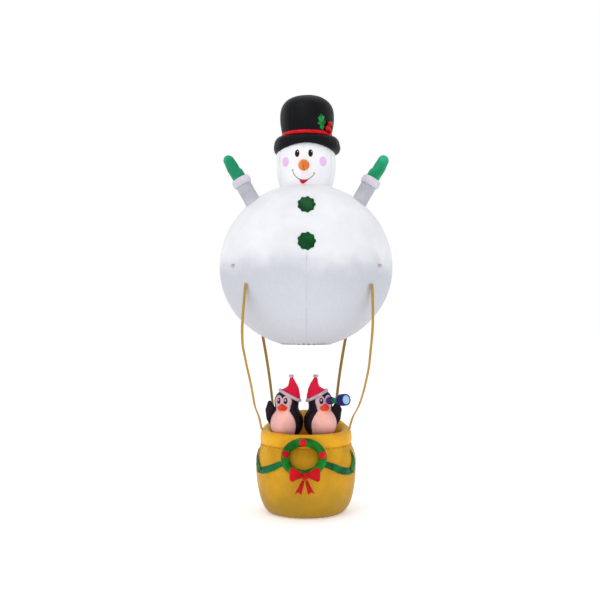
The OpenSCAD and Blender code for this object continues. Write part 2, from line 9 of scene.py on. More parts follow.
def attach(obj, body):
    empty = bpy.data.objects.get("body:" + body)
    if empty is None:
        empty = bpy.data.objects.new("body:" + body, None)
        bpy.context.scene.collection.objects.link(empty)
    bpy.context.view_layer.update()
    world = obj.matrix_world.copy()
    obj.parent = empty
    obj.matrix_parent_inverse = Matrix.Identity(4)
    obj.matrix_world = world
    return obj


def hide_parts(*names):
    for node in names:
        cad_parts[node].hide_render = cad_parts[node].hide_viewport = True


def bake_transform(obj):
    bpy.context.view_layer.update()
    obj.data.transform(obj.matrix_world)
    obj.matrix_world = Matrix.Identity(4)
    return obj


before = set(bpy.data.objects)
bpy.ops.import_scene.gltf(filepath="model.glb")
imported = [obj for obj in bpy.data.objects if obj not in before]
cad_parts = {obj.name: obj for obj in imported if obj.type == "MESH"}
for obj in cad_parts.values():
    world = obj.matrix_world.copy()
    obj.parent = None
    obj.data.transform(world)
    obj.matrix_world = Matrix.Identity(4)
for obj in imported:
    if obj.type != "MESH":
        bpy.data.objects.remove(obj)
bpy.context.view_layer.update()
scene = bpy.context.scene
V = Vector


def placed(name, data):
    """A new object in the scene with the given data."""
    thing = bpy.data.objects.new(name, data)
    scene.collection.objects.link(thing)
    return thing


# ---- Camera ----

def set_camera():
    data = bpy.data.cameras.new("camera")
    data.lens = 54.4
    data.sensor_width = 36
    data.clip_end = 300
    camera = placed("camera", data)
    camera.location = (-0.053, -8.0, 1.677)
    camera.rotation_euler = (radians(90 + 1.26), 0, 0)
    scene.camera = camera


set_camera()


# ---- Points and surfaces ----

def turns(n):
    """n angles once round, in radians."""
    return [2 * pi * k / n for k in range(n)]


def steps(low, high, n):
    """n + 1 even steps from low to high."""
    return [low + (high - low) * k / n for k in range(n + 1)]


def polar(r, a):
    """The level offset to radius r and angle a."""
    return r * cos(a), r * sin(a)


def outward(q):
    """The level direction away from the object's axis."""
    return q.x, q.y, 0


def around(r, az, z):
    """The point at radius r and height z, az degrees from the front towards the right."""
    a = radians(az)
    return V((r * sin(a), -r * cos(a), z))


def smooth_line(points, per=6, closed=False):
    """Points along a smooth curve through the given ones."""
    p = [V(q) for q in points]
    n = len(p)
    out = []
    for i in range(n if closed else n - 1):
        a, b, c, d = (p[(i + k) % n] if closed else p[min(max(i + k, 0), n - 1)] for k in (-1, 0, 1, 2))
        for j in range(per):
            t = j / per
            out.append(0.5 * (2 * b + (c - a) * t + (2 * a - 5 * b + 4 * c - d) * t * t
                              + (3 * b - a - 3 * c + d) * t ** 3))
    return out if closed else out + [p[-1]]


# The balloon's radius, and its middle, foot, upper half and lower half heights
BALLOON_R, BALLOON_Z, BALLOON_FOOT, BALLOON_UP, BALLOON_DOWN = 0.760, 2.136, 1.467, 0.741, 0.700


def balloon_radius(z):
    """The balloon's radius at a height; the radius functions of the other round parts read the same way."""
    half = BALLOON_UP if z > BALLOON_Z else BALLOON_DOWN
    return BALLOON_R * sqrt(max(0.0, 1 - ((z - BALLOON_Z) / half) ** 2))


def head_radius(z):
    return 0.262 * sqrt(max(0.0, 1 - ((z - 3.062) / 0.437) ** 2))


CROWN_LINE = ([(0.236, 3.242), (0.224, 3.252), (0.218, 3.264), (0.218, 3.296), (0.222, 3.330), (0.229, 3.365),
               (0.235, 3.400), (0.238, 3.430)]
              + [(0.239 * cos(a) ** (2 / 2.6), 3.459 + 0.198 * sin(a) ** (2 / 2.6))
                 for a in [radians(3 * k) for k in range(30)]] + [(0.003, 3.657)])


def crown_radius(z):
    return float(np.interp(z, [q[1] for q in CROWN_LINE], [q[0] for q in CROWN_LINE]))


def basket_radius(z):
    if z < 0.400:
        return 0.300 + 0.137 * sqrt(max(0.0, 1 - ((0.400 - z) / 0.400) ** 2))
    return 0.437 - 0.037 * (max(0.0, z - 0.440) / 0.140) ** 2.2


def seen_from(radius_at, az=0.0, centre=(0.0, 0.0)):
    """A function that puts (x, z), seen from azimuth az, on a round surface, lifted along its normal."""
    turn = Matrix.Rotation(radians(az), 4, "Z")

    def bare(x, z):
        r = radius_at(z)
        return turn @ V((x, -sqrt(max(r * r - x * x, 1e-6)), z))

    def place(x, z, lift=0.0):
        e = 0.001
        normal = (bare(x + e, z) - bare(x - e, z)).cross(bare(x, z + e) - bare(x, z - e)).normalized()
        return bare(x, z) + normal * lift + V((centre[0], centre[1], 0))
    return place


# ---- Meshes ----

def mesh_from(bm, name):
    """A new mesh with what a bmesh holds, which is then freed."""
    mesh = bpy.data.meshes.new(name)
    bm.to_mesh(mesh)
    bm.free()
    return mesh


def mesh_piece(name, verts, faces, merge=False):
    mesh = bpy.data.meshes.new(name)
    mesh.from_pydata([tuple(v) for v in verts], [], faces)
    bm = bmesh.new()
    bm.from_mesh(mesh)
    if merge:
        bmesh.ops.remove_doubles(bm, verts=bm.verts, dist=2e-5)
    bmesh.ops.recalc_face_normals(bm, faces=bm.faces)
    bm.to_mesh(mesh)
    bm.free()
    mesh.shade_smooth()
    return placed(name, mesh)


def grid_piece(name, rows, ring=True, loop=False, caps=False, merge=False):
    """A surface through rows of points. ring closes each row, loop joins the last row to the first."""
    n, m = len(rows[0]), len(rows)
    verts = [p for row in rows for p in row]
    faces = []
    for i in range(m if loop else m - 1):
        k = (i + 1) % m
        for j in range(n if ring else n - 1):
            q = (j + 1) % n
            faces.append((i * n + j, i * n + q, k * n + q, k * n + j))
    if caps:
        for i in (0, m - 1):
            middle = sum((V(p) for p in rows[i]), V()) / n
            verts.append(middle)
            faces += [(i * n + j, i * n + (j + 1) % n, len(verts) - 1) for j in range(n)]
    return mesh_piece(name, verts, faces, merge)


def coords(mesh):
    co = np.empty(len(mesh.vertices) * 3, np.float32)
    mesh.vertices.foreach_get("co", co)
    return co.reshape(-1, 3).astype(float)


def set_coords(mesh, co):
    mesh.vertices.foreach_set("co", co.astype(np.float32).ravel())
    mesh.update()


def displace(piece, height):
    """Moves each point of a piece along its normal by height(points, normals)."""
    co = coords(piece.data)
    normals = np.empty(len(co) * 3, np.float32)
    piece.data.vertex_normals.foreach_get("vector", normals)
    normals = normals.reshape(-1, 3)
    co += normals * height(co, normals)[:, None]
    set_coords(piece.data, co)
    return piece


def lumps(co, size, stretch=(1, 1, 1), seed=0.0):
    """Smooth noise from -1 to 1 at each point, with features of the given size in metres."""
    s = [k / size for k in stretch]
    return np.array([noise.noise(V((p[0] * s[0] + seed, p[1] * s[1], p[2] * s[2]))) for p in co])


def azimuth(co, centre=(0, 0)):
    return np.degrees(np.arctan2(co[:, 0] - centre[0], -(co[:, 1] - centre[1])))


def near(values, at, width):
    """1 on a line and falling away from it over width."""
    return np.exp(-((values - at) / width) ** 2)


def fade(past, width):
    """1 before a line and dying away beyond it over width; past is the distance beyond the line."""
    return np.exp(-np.maximum(past, 0) / width)


def turn_gap(az, at):
    """Degrees between azimuths, from 0 to 180."""
    return np.abs((az - at + 180) % 360 - 180)


def lathe(name, line, columns=192, centre=(0, 0), caps=False):
    rows = [[around(r, 360 * j / columns, z) + V((centre[0], centre[1], 0)) for j in range(columns)]
            for r, z in line]
    return grid_piece(name, rows, caps=caps)


def tube(name, path, radius, sides=8, loop=False, flat=1.0, up=None):
    """A tube along a path. radius is a number or one for each point; flat thins it across up."""
    p = [V(q) for q in path]
    n = len(p)
    rows = []
    side = None
    for i in range(n):
        way = (p[(i + 1) % n] - p[i - 1]) if loop else (p[min(i + 1, n - 1)] - p[max(i - 1, 0)])
        way.normalize()
        if up is not None:
            out = V(up(p[i]))
            side = way.cross(out).normalized()
        elif side is None:
            side = way.orthogonal().normalized()
        else:
            side = (side - way * side.dot(way)).normalized()
        out = side.cross(way).normalized()
        r = radius[i] if hasattr(radius, "__len__") else radius
        rows.append([p[i] + side * r * cos(t) + out * r * flat * sin(t)
                     for t in turns(sides)])
    return grid_piece(name, rows, loop=loop, caps=not loop)


def band(name, path, widths, out_at, thick, across=9, ripple=None):
    """A flat strip along a path with its own width and thickness, and UVs in metres along and across."""
    p = [V(q) for q in path]
    n = len(p)
    rows, run = [], [0.0]
    for i in range(1, n):
        run.append(run[-1] + (p[i] - p[i - 1]).length)
    for i in range(n):
        way = (p[min(i + 1, n - 1)] - p[max(i - 1, 0)]).normalized()
        out = V(out_at(p[i])).normalized()
        side = way.cross(out).normalized()
        out = side.cross(way).normalized()
        row = []
        for face in (1, -1):
            for k in range(across):
                t = (2 * k / (across - 1) - 1) * face
                bulge = ripple(run[i], t) if ripple else 0.0
                rise = 0.5 * thick * face * (1 - 0.75 * t ** 8)
                row.append(p[i] + side * t * widths[i] / 2 + out * (rise + bulge))
        rows.append(row)
    piece = grid_piece(name, rows, caps=True)
    uv = piece.data.uv_layers.new(name="strip")
    total = 2 * across
    for loop_data in piece.data.loops:
        v = loop_data.vertex_index
        i, k = divmod(v, total) if v < n * total else (0, 0)
        t = 2 * (k % across) / (across - 1) - 1
        uv.data[loop_data.index].uv = ((t if k < across else -t) * widths[i] / 2, run[i])
    return piece


def patch(name, surface, outline, lift, puff, rings=9, centre=None, ruffle=None):
    """A puffed patch on a surface: its outline pulled in to the skin and its middle raised."""
    cx, cz = centre or (sum(q[0] for q in outline) / len(outline), sum(q[1] for q in outline) / len(outline))
    rows = []
    for k in range(rings + 2):
        t = min(k, rings) / rings
        h = lift + puff * (1 - t ** 2.6) ** 0.6 if k <= rings else -0.003
        row = []
        for i, (x, z) in enumerate(outline):
            extra = ruffle(i / len(outline), t) if ruffle and k <= rings else 0.0
            row.append(surface(cx + (x - cx) * t, cz + (z - cz) * t, h + extra))
        rows.append(row)
    return grid_piece(name, rows, merge=True)


def oval(a, b, n=48, x=0.0, z=0.0):
    return [(x + a * cos(2 * pi * i / n), z + b * sin(2 * pi * i / n)) for i in range(n)]


def rounded(points, per=4):
    """A closed outline through points with soft corners."""
    return [(q[0], q[2]) for q in smooth_line([V((x, 0, z)) for x, z in points], per, closed=True)]


def union_outline(inside, centre, reach, n=90):
    """The outline of a shape seen from its centre, where inside(x, z) says what belongs to it."""
    out = []
    for a in turns(n):
        r = reach
        while r > 0 and not inside(centre[0] + r * cos(a), centre[1] + r * sin(a)):
            r -= 0.001
        out.append((centre[0] + r * cos(a), centre[1] + r * sin(a)))
    return out


def baked(piece):
    """Applies a piece's modifiers to its mesh."""
    bpy.context.view_layer.update()
    whole = bpy.data.meshes.new_from_object(piece.evaluated_get(bpy.context.evaluated_depsgraph_get()))
    piece.modifiers.clear()
    piece.data = whole
    whole.shade_smooth()
    return piece


def stretched_skin(balls):
    """The mesh of a skin stretched over some balls."""
    bm = bmesh.new()
    for centre, r in balls:
        for i in range(13):
            a = pi * i / 12
            for j in range(24 if 0 < i < 12 else 1):
                b = pi * j / 12
                bm.verts.new(V(centre) + r * V((sin(a) * cos(b), sin(a) * sin(b), cos(a))))
    hull = bmesh.ops.convex_hull(bm, input=bm.verts[:])
    loose = {v for v in hull["geom_interior"] + hull["geom_unused"] if isinstance(v, bmesh.types.BMVert)}
    bmesh.ops.delete(bm, geom=list(loose), context="VERTS")
    return mesh_from(bm, "skin")


def blob(name, groups, voxel=0.005, smooth=8):
    """One rounded closed form from groups of balls, each group being the skin stretched over its balls."""
    bm = bmesh.new()
    for balls in groups:
        bm.from_mesh(stretched_skin(balls))
    piece = placed(name, mesh_from(bm, name))
    remesh = piece.modifiers.new("remesh", "REMESH")
    remesh.mode = "VOXEL"
    remesh.voxel_size = voxel
    relax = piece.modifiers.new("relax", "SMOOTH")
    relax.iterations = smooth
    return baked(piece)


def puffed_ball(name, centre, r, out, pleats=14):
    """A small inflated ball of two panels, with a stitched equator that puckers."""
    out = V(out).normalized()
    side = out.orthogonal().normalized()
    up = out.cross(side)
    rows = []
    for i in range(41):
        a = pi * i / 40
        row = []
        for b in turns(64):
            seam = exp(-((a - pi / 2) / 0.10) ** 2)
            close = exp(-((a - pi / 2) / 0.32) ** 2)
            k = r * (1 - 0.018 * seam + 0.014 * close * cos(pleats * b) + 0.012 * cos(3 * b + a * 2))
            row.append(V(centre) + side * (k * sin(a) * cos(b)) + up * (k * sin(a) * sin(b))
                       + out * (k * 0.94 * cos(a)))
        rows.append(row)
    return grid_piece(name, rows, merge=True)


# ---- Materials ----

def srgb(code):
    """A linear colour from a six-digit code."""
    parts = [int(code[i:i + 2], 16) / 255 for i in (0, 2, 4)]
    return tuple(c / 12.92 if c < 0.04045 else ((c + 0.055) / 1.055) ** 2.4 for c in parts) + (1.0,)


class Shader:
    """A Principled material with small helpers for its nodes."""

    def __init__(self, name, rough=0.5, metallic=0.0, sheen=0.0, coat=0.0, alpha=1.0, shine=0.12):
        self.material = bpy.data.materials.new(name)
        self.material.use_nodes = True
        self.nodes = self.material.node_tree.nodes
        self.links = self.material.node_tree.links
        self.bsdf = self.nodes["Principled BSDF"]
        for socket, value in (("Roughness", rough), ("Metallic", metallic), ("Sheen Weight", sheen),
                              ("Coat Weight", coat), ("Coat Roughness", 0.25), ("Alpha", alpha),
                              ("Specular IOR Level", shine)):
            self.bsdf.inputs[socket].default_value = value
        self.where = self.nodes.new("ShaderNodeTexCoord")

    def add(self, kind, inputs=(), **settings):
        node = self.nodes.new(kind)
        for key, value in settings.items():
            setattr(node, key, value)
        for key, value in dict(inputs).items():
            if isinstance(value, bpy.types.NodeSocket):
                self.links.new(value, node.inputs[key])
            else:
                node.inputs[key].default_value = value
        return node

    def spot(self, stretch=(1, 1, 1)):
        inputs = {"Vector": self.where.outputs["Object"], "Scale": stretch}
        return self.add("ShaderNodeMapping", inputs).outputs["Vector"]

    def cloud(self, scale, detail=3.0, stretch=(1, 1, 1), distortion=0.3):
        inputs = {"Vector": self.spot(stretch), "Scale": scale, "Detail": detail, "Roughness": 0.55,
                  "Distortion": distortion}
        return self.add("ShaderNodeTexNoise", inputs).outputs[0]

    def ramp(self, value, stops):
        node = self.add("ShaderNodeValToRGB", {"Fac": value})
        ends = node.color_ramp.elements
        ends[0].position, ends[0].color = stops[0]
        ends[1].position, ends[1].color = stops[-1]
        for place, colour in stops[1:-1]:
            ends.new(place).color = colour
        return node.outputs["Color"]

    def mix(self, amount, a, b):
        return self.add("ShaderNodeMix", {0: amount, 6: a, 7: b}, data_type="RGBA").outputs[2]

    def math(self, operation, a, b=0.0):
        return self.add("ShaderNodeMath", {0: a, 1: b}, operation=operation).outputs[0]

    def span(self, value, low, high, to_low=0.0, to_high=1.0):
        inputs = {"Value": value, "From Min": low, "From Max": high, "To Min": to_low, "To Max": to_high}
        return self.add("ShaderNodeMapRange", inputs, interpolation_type="SMOOTHSTEP").outputs[0]

    def axis(self, name):
        return self.add("ShaderNodeSeparateXYZ", {"Vector": self.where.outputs["Object"]}).outputs[name]

    def bump(self, height, distance, strength=1.0):
        node = self.add("ShaderNodeBump", {"Height": height, "Distance": distance, "Strength": strength})
        before = self.bsdf.inputs["Normal"].links
        if before:
            self.links.new(before[0].from_socket, node.inputs["Normal"])
        self.links.new(node.outputs["Normal"], self.bsdf.inputs["Normal"])

    def weave(self, period, distance):
        """A ripstop grid: crossing raised threads in all three directions."""
        scale = 0.314 / period
        bands = [self.add("ShaderNodeTexWave", {"Vector": self.where.outputs["Object"], "Scale": scale},
                          wave_type="BANDS", bands_direction=d).outputs["Fac"] for d in ("X", "Y", "Z")]
        thin = [self.math("POWER", b, 6.0) for b in bands]
        thread = self.math("MAXIMUM", self.math("MAXIMUM", thin[0], thin[1]), thin[2])
        self.bump(thread, distance, 0.6)

    def colour(self, socket):
        self.links.new(socket, self.bsdf.inputs["Base Color"])


def fabric(name, light, dark, rough=0.42, clouds=4.0, crease=0.006, weave=0.005, sheen=0.0,
           shine=0.12, shade=None, glow=()):
    """Coated nylon: two tones in soft clouds, folds and a ripstop weave. shade is (low, high, colour): painted
    shade, the cloth turning to that colour below the height band; glow is a list of (centre, reach, colour,
    strength): painted glow where a lamp inside shows through."""
    s = Shader(name, rough, sheen=sheen, shine=shine)
    tone = s.ramp(s.cloud(clouds, 4.0), [(0.36, srgb(dark)), (0.66, srgb(light))])
    # Painted shade: going down from the high height to the low one, the colour turns to the shade colour, with
    # a ragged edge.
    if shade:
        low, high, code = shade
        ripple = s.span(s.cloud(5.0, 2.0), 0.2, 0.8, -0.05, 0.05)
        tone = s.mix(s.span(s.math("ADD", s.axis("Z"), ripple), low, high, 1.0, 0.0), tone, srgb(code))
    tone = s.mix(s.span(s.cloud(38.0, 2.0), 0.35, 0.75, 0.0, 0.10), tone, srgb(dark))
    s.colour(tone)
    for k, (centre, reach, code, strength) in enumerate(glow):
        far = s.add("ShaderNodeVectorMath", {0: s.where.outputs["Object"], 1: centre}, operation="DISTANCE")
        s.bsdf.inputs["Emission Color"].default_value = srgb(code)
        lit = s.span(far.outputs["Value"], 0.0, reach, strength, 0.0)
        lit_sum = lit if k == 0 else s.math("ADD", lit_sum, lit)
    if glow:
        s.links.new(lit_sum, s.bsdf.inputs["Emission Strength"])
    s.bump(s.cloud(7.0, 3.0, (1, 1, 0.4), distortion=0.8), crease)
    s.bump(s.cloud(30.0, 3.0, (1, 1, 0.6), distortion=1.2), crease * 0.12)
    s.weave(weave, 0.0003)
    return s.material


def webbing(name, light, dark, half_width, upper=None):
    """A woven strap: slanted yarns and a line of stitches along each edge. upper is (low, high, colour): the
    tone that the strap turns to with height."""
    s = Shader(name, 0.6, shine=0.2)
    uv = s.add("ShaderNodeUVMap", uv_map="strip").outputs["UV"]
    parts = s.add("ShaderNodeSeparateXYZ", {"Vector": uv})
    across, along = parts.outputs["X"], parts.outputs["Y"]
    edge = s.math("ABSOLUTE", across)
    slant = s.math("SINE", s.math("MULTIPLY", s.math("ADD", along, edge), 1400.0))
    ribs = s.math("SINE", s.math("MULTIPLY", across, 2600.0))
    line = s.span(s.math("ABSOLUTE", s.math("SUBTRACT", edge, half_width * 0.78)), 0.0004, 0.0011, 1.0, 0.0)
    dash = s.span(s.math("SINE", s.math("MULTIPLY", along, 950.0)), -0.1, 0.2)
    stitch = s.math("MULTIPLY", line, dash)
    tone = s.ramp(s.span(slant, -1.0, 1.0), [(0.0, srgb(dark)), (1.0, srgb(light))])
    tone = s.mix(s.span(s.cloud(9.0), 0.3, 0.7, 0.0, 0.45), tone, srgb(dark))
    if upper:
        tone = s.mix(s.span(s.axis("Z"), upper[0], upper[1]), tone, srgb(upper[2]))
    s.colour(s.mix(stitch, tone, srgb(light)))
    s.bump(s.math("ADD", slant, ribs), 0.0005, 0.6)
    s.bump(stitch, 0.0008, 0.8)
    return s.material


def plastic(name, light, dark, rough=0.4, grain=0.0002):
    """Moulded plastic: faint clouding, scuffs and an eroded grain."""
    s = Shader(name, rough, coat=0.15)
    s.colour(s.ramp(s.cloud(12.0, 4.0), [(0.3, srgb(dark)), (0.7, srgb(light))]))
    scuff = s.cloud(60.0, 5.0, (1, 1, 6), distortion=1.5)
    s.links.new(s.span(scuff, 0.3, 0.75, rough, min(1.0, rough + 0.25)), s.bsdf.inputs["Roughness"])
    s.bump(s.cloud(420.0, 2.0), grain)
    return s.material


def steel():
    s = Shader("zinc_steel", 0.32, metallic=1.0)
    s.colour(s.ramp(s.cloud(40.0, 4.0), [(0.3, srgb("8c8f94")), (0.7, srgb("c9ccd0"))]))
    s.links.new(s.span(s.cloud(90.0, 4.0), 0.3, 0.7, 0.25, 0.5), s.bsdf.inputs["Roughness"])
    s.bump(s.cloud(300.0, 2.0), 0.0001)
    return s.material


def clear_vinyl():
    s = Shader("clear_film", 0.4, alpha=0.03, shine=0.2)
    s.colour(s.ramp(s.cloud(6.0), [(0.3, srgb("98a2ac")), (0.7, srgb("b4bcc4"))]))
    s.bump(s.cloud(5.0, 3.0, (1, 1, 0.3)), 0.004)
    return s.material


def lamp_dome():
    s = Shader("lamp_frosted", 0.35)
    s.colour(s.ramp(s.cloud(60.0), [(0.3, srgb("f6f0e2")), (0.7, srgb("fffaf0"))]))
    s.bsdf.inputs["Emission Color"].default_value = srgb("ffe2b0")
    s.bsdf.inputs["Emission Strength"].default_value = 0.6
    s.bump(s.cloud(300.0), 0.0002)
    return s.material


M = {
    # Below its widest line the balloon's white turns grey: painted shade on the lower half, which faces away
    # from the light above.
    "white": fabric("white_nylon", "efeff2", "e4e5e9", 0.5, 3.0, 0.005, shade=(2.02, 2.28, "c4c7ce"),
                    glow=[((0, -0.62, 1.76), 0.60, "f4f6ff", 0.07)]),
    # The head's white is lighter than the body's: painted glow of the lamp inside the head.
    "head": fabric("white_head_nylon_painted_glow", "f8f8fa", "efeff3", 0.5, 6.0, 0.003),
    "arm": fabric("arm_nylon", "c4c4cb", "aeaeb8", 0.5, 5.0, 0.004),
    "cuff": fabric("cuff_nylon", "d6d2dc", "c5c0cd", 0.5, 8.0, 0.004),
    "cuff_line": fabric("cuff_thread", "d8a3a6", "c48a90", 0.6, 30.0, 0.0005),
    # The basket's yellow turns olive towards its foot: painted shade low on the basket.
    "gold": fabric("gold_nylon", "dba520", "c58e16", 0.42, 4.0, 0.006, shade=(0.02, 0.42, "a27f24"),
                   glow=[((0, -0.40, 0.30), 0.55, "ffb020", 0.04)]),
    "roll": fabric("roll_nylon", "f0b323", "e0a01a", 0.40, 4.0, 0.006),
    "inner": fabric("inner_nylon", "d08a1c", "b57212", 0.5, 5.0, 0.004),
    "ribbon": fabric("ribbon_taffeta", "0f8044", "055026", 0.34, 9.0, 0.005),
    "wreath": fabric("wreath_nylon", "158a26", "095416", 0.40, 9.0, 0.006),
    "red": fabric("red_nylon", "d80e18", "a8060e", 0.36, 8.0, 0.005),
    "berry": fabric("berry_nylon", "e01420", "ad0a14", 0.28, 10.0, 0.002),
    "band": fabric("band_nylon", "ec1420", "cf0e18", 0.38, 10.0, 0.002),
    "black": fabric("black_nylon", "0d0e12", "060608", 0.42, 5.0, 0.004),
    "plum": fabric("plum_black_nylon", "281a22", "120c10", 0.45, 6.0, 0.004),
    "belly": fabric("belly_nylon", "e8b4b0", "d9a5a4", 0.5, 8.0, 0.003,
                    glow=[((x, -0.23, 0.86), 0.15, "ffb070", 0.24) for x in (-0.20, 0.16)]),
    "face": fabric("face_nylon", "dcb9c2", "c9a3ad", 0.5, 10.0, 0.002,
                   glow=[((x, -0.22, 0.885), 0.085, "ffb070", 0.22) for x in (-0.20, 0.16)]),
    "beak": fabric("beak_nylon", "f4512f", "dc3a20", 0.42, 12.0, 0.002),
    "santa": fabric("crimson_nylon", "f21c44", "d01036", 0.42, 8.0, 0.004),
    "trim": fabric("trim_plush", "cdbcc6", "b3a3ae", 0.75, 14.0, 0.004, sheen=0.15),
    "purple": fabric("purple_nylon", "5f2c92", "3f1a68", 0.42, 12.0, 0.002),
    "scope": fabric("scope_green_nylon", "1f8a50", "0d5c34", 0.42, 12.0, 0.002),
    "navy": fabric("navy_nylon", "2a2d8a", "171a58", 0.42, 12.0, 0.002),
    "lens": fabric("lens_nylon", "bcdcf2", "8fbcdf", 0.3, 12.0, 0.001),
    "button": fabric("button_nylon", "04602a", "023a18", 0.38, 8.0, 0.003),
    "mitten": fabric("mitten_nylon", "2cb381", "1a875e", 0.42, 7.0, 0.004),
    "carrot": fabric("carrot_nylon", "f48c34", "e0661c", 0.42, 12.0, 0.002),
    "cheek": fabric("cheek_nylon", "f2c6f2", "e8b8e8", 0.5, 14.0, 0.001),
    "tongue": fabric("tongue_nylon", "ee1c30", "d01024", 0.42, 14.0, 0.001),
    "ink": fabric("ink_nylon", "0e0f12", "050506", 0.35, 14.0, 0.001, shine=0.2),
    "shine": fabric("shine_nylon", "e9e9ee", "d9dae0", 0.3, 14.0, 0.0005),
    "grey_line": fabric("grey_thread", "85878f", "66686f", 0.6, 30.0, 0.0005),
    "pale_line": fabric("pale_thread", "cccfda", "bcc0cc", 0.6, 30.0, 0.0005),
    "gold_line": fabric("gold_thread", "d29c22", "b98418", 0.6, 30.0, 0.0005),
    "brown_line": fabric("brown_thread", "a8441c", "8a3212", 0.6, 30.0, 0.0005),
    "dark_line": fabric("dark_thread", "0f3b1a", "082a11", 0.6, 30.0, 0.0005),
    "leaf": fabric("leaf_nylon", "1fa548", "05501c", 0.34, 30.0, 0.003),
    "leaf_dark": fabric("leaf_dark_nylon", "0f7a34", "033814", 0.34, 30.0, 0.003),
    "sand": fabric("sandbag_nylon", "5c5f66", "44474d", 0.6, 12.0, 0.004),
    "strap_gold": webbing("gold_webbing", "d0a440", "ad8330", 0.017),
    "strap_orange": webbing("orange_webbing", "bd9a3e", "98792e", 0.017, (1.32, 1.62, "c8622c")),
    "pink_tab": fabric("pink_webbing", "f08ab4", "d86c9c", 0.6, 40.0, 0.001, weave=0.002),
    "steel": steel(),
    "white_plastic": plastic("white_moulding", "f0f0ee", "e0e0de", 0.38),
    "dark_plastic": plastic("dark_moulding", "33363b", "1f2125", 0.45),
    "vinyl": clear_vinyl(),
    "lamp": lamp_dome(),
}


def finish_piece(piece, material, body, slot, replaces=()):
    """Gives a piece its material and body, and hides the CAD nodes it replaces. slot is not used."""
    piece.data.materials.clear()
    piece.data.materials.append(M[material])
    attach(piece, body)
    if replaces:
        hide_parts(*replaces)
    return piece


def thread(name, path, radius, material, body, slot, **form):
    """A line of sewing thread."""
    return finish_piece(tube(name, path, radius, 6, **form), material, body, slot)


def paint(node, material):
    """Gives a CAD node that stays visible its detailed material."""
    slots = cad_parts[node].data.materials
    if not slots:
        slots.append(M[material])
    for i in range(len(slots)):
        slots[i] = M[material]


# ---- Straps, the object's cords ----

# Each strap's route from the balloon down to the basket's rim, in metres
STRAPS = {
    "front_left": [(-.500, -.550, 1.975), (-.506, -.549, 1.920), (-.512, -.545, 1.842), (-.520, -.536, 1.760),
                   (-.526, -.524, 1.677), (-.531, -.506, 1.600), (-.531, -.486, 1.525), (-.527, -.460, 1.452),
                   (-.514, -.430, 1.376), (-.496, -.384, 1.274), (-.475, -.332, 1.169), (-.458, -.272, 1.063),
                   (-.444, -.206, .955), (-.428, -.160, .895), (-.410, -.122, .840), (-.397, -.088, .775),
                   (-.386, -.057, .717)],
    "front_right": [(.541, -.512, 1.975), (.545, -.514, 1.920), (.547, -.513, 1.842), (.549, -.508, 1.760),
                    (.550, -.498, 1.677), (.548, -.484, 1.600), (.544, -.466, 1.525), (.538, -.443, 1.452),
                    (.533, -.416, 1.376), (.524, -.376, 1.274), (.507, -.328, 1.169), (.486, -.270, 1.063),
                    (.457, -.206, .955), (.433, -.162, .895), (.407, -.120, .840), (.388, -.086, .775),
                    (.377, -.057, .718)],
    "rear_left": [(-.474, .572, 1.975), (-.468, .575, 1.920), (-.457, .570, 1.842), (-.446, .560, 1.760),
                  (-.430, .542, 1.677), (-.415, .520, 1.600), (-.401, .494, 1.525), (-.387, .464, 1.452),
                  (-.372, .434, 1.376), (-.354, .396, 1.274), (-.336, .350, 1.169), (-.320, .306, 1.063),
                  (-.306, .268, .955), (-.298, .248, .895), (-.290, .230, .840), (-.285, .216, .796)],
    "rear_right": [(.453, .589, 1.975), (.447, .591, 1.920), (.437, .585, 1.842), (.424, .574, 1.760),
                   (.408, .554, 1.677), (.392, .530, 1.600), (.377, .502, 1.525), (.362, .470, 1.452),
                   (.347, .438, 1.376), (.328, .398, 1.274), (.310, .352, 1.169), (.294, .308, 1.063),
                   (.280, .270, .955), (.272, .250, .895), (.264, .233, .840), (.259, .220, .800)],
}


# The azimuth that a front strap's broad face looks towards; a rear strap's looks away from the axis
STRAP_FACING = {"front_left": -47, "front_right": 47}
STRAP_WIDTH, STRAP_THICK = 0.034, 0.0034


def make_straps():
    for name, route in STRAPS.items():
        path = smooth_line(route, 5)

        def facing(q, name=name):
            return around(1, STRAP_FACING[name], 0) if name in STRAP_FACING else outward(q)
        piece = band(f"webbing_{name}", path, [STRAP_WIDTH] * len(path), facing, STRAP_THICK)
        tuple(path[0])
        piece.data.materials.append(M["strap_gold" if "front" in name else "strap_orange"])
        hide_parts(f"strap_{name}")
        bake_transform(piece)


make_straps()


# ---- Balloon ----

ANCHORS = [V(route[0]) for route in STRAPS.values()]
BALLOON_SEAMS = (0, 90, 180, 270)


def balloon_height(co, normals):
    az = azimuth(co)
    r = np.hypot(co[:, 0], co[:, 1])
    h = np.zeros(len(co))
    for seam in BALLOON_SEAMS:
        d = np.radians(turn_gap(az, seam)) * r
        pucker = 0.5 + 0.5 * np.sin(co[:, 2] * 2 * pi / 0.046 + seam)
        h -= 0.0028 * near(d, 0, 0.007) + 0.0012 * pucker * near(d, 0, 0.030)
    for k, anchor in enumerate(ANCHORS):
        away = co - np.array(anchor)
        d = np.linalg.norm(away, axis=1)
        spoke = np.arctan2(away[:, 2], az - degrees(atan2(anchor.x, -anchor.y)) + 1e-9)
        h += -0.007 * near(d, 0, 0.05) + 0.0022 * np.sin(7 * spoke + k) * near(d, 0, 0.11)
    low = np.exp(-(co[:, 2] - BALLOON_FOOT) / 0.045)
    h += 0.0035 * low * np.cos(np.radians(az) * 34) - 0.002 * low
    neck = fade(2.86 - co[:, 2], 0.02)
    h += 0.0012 * neck * np.cos(np.radians(az) * 40)
    return h + 0.0022 * lumps(co, 0.22) + 0.0012 * lumps(co, 0.09, (1, 1, 0.5))


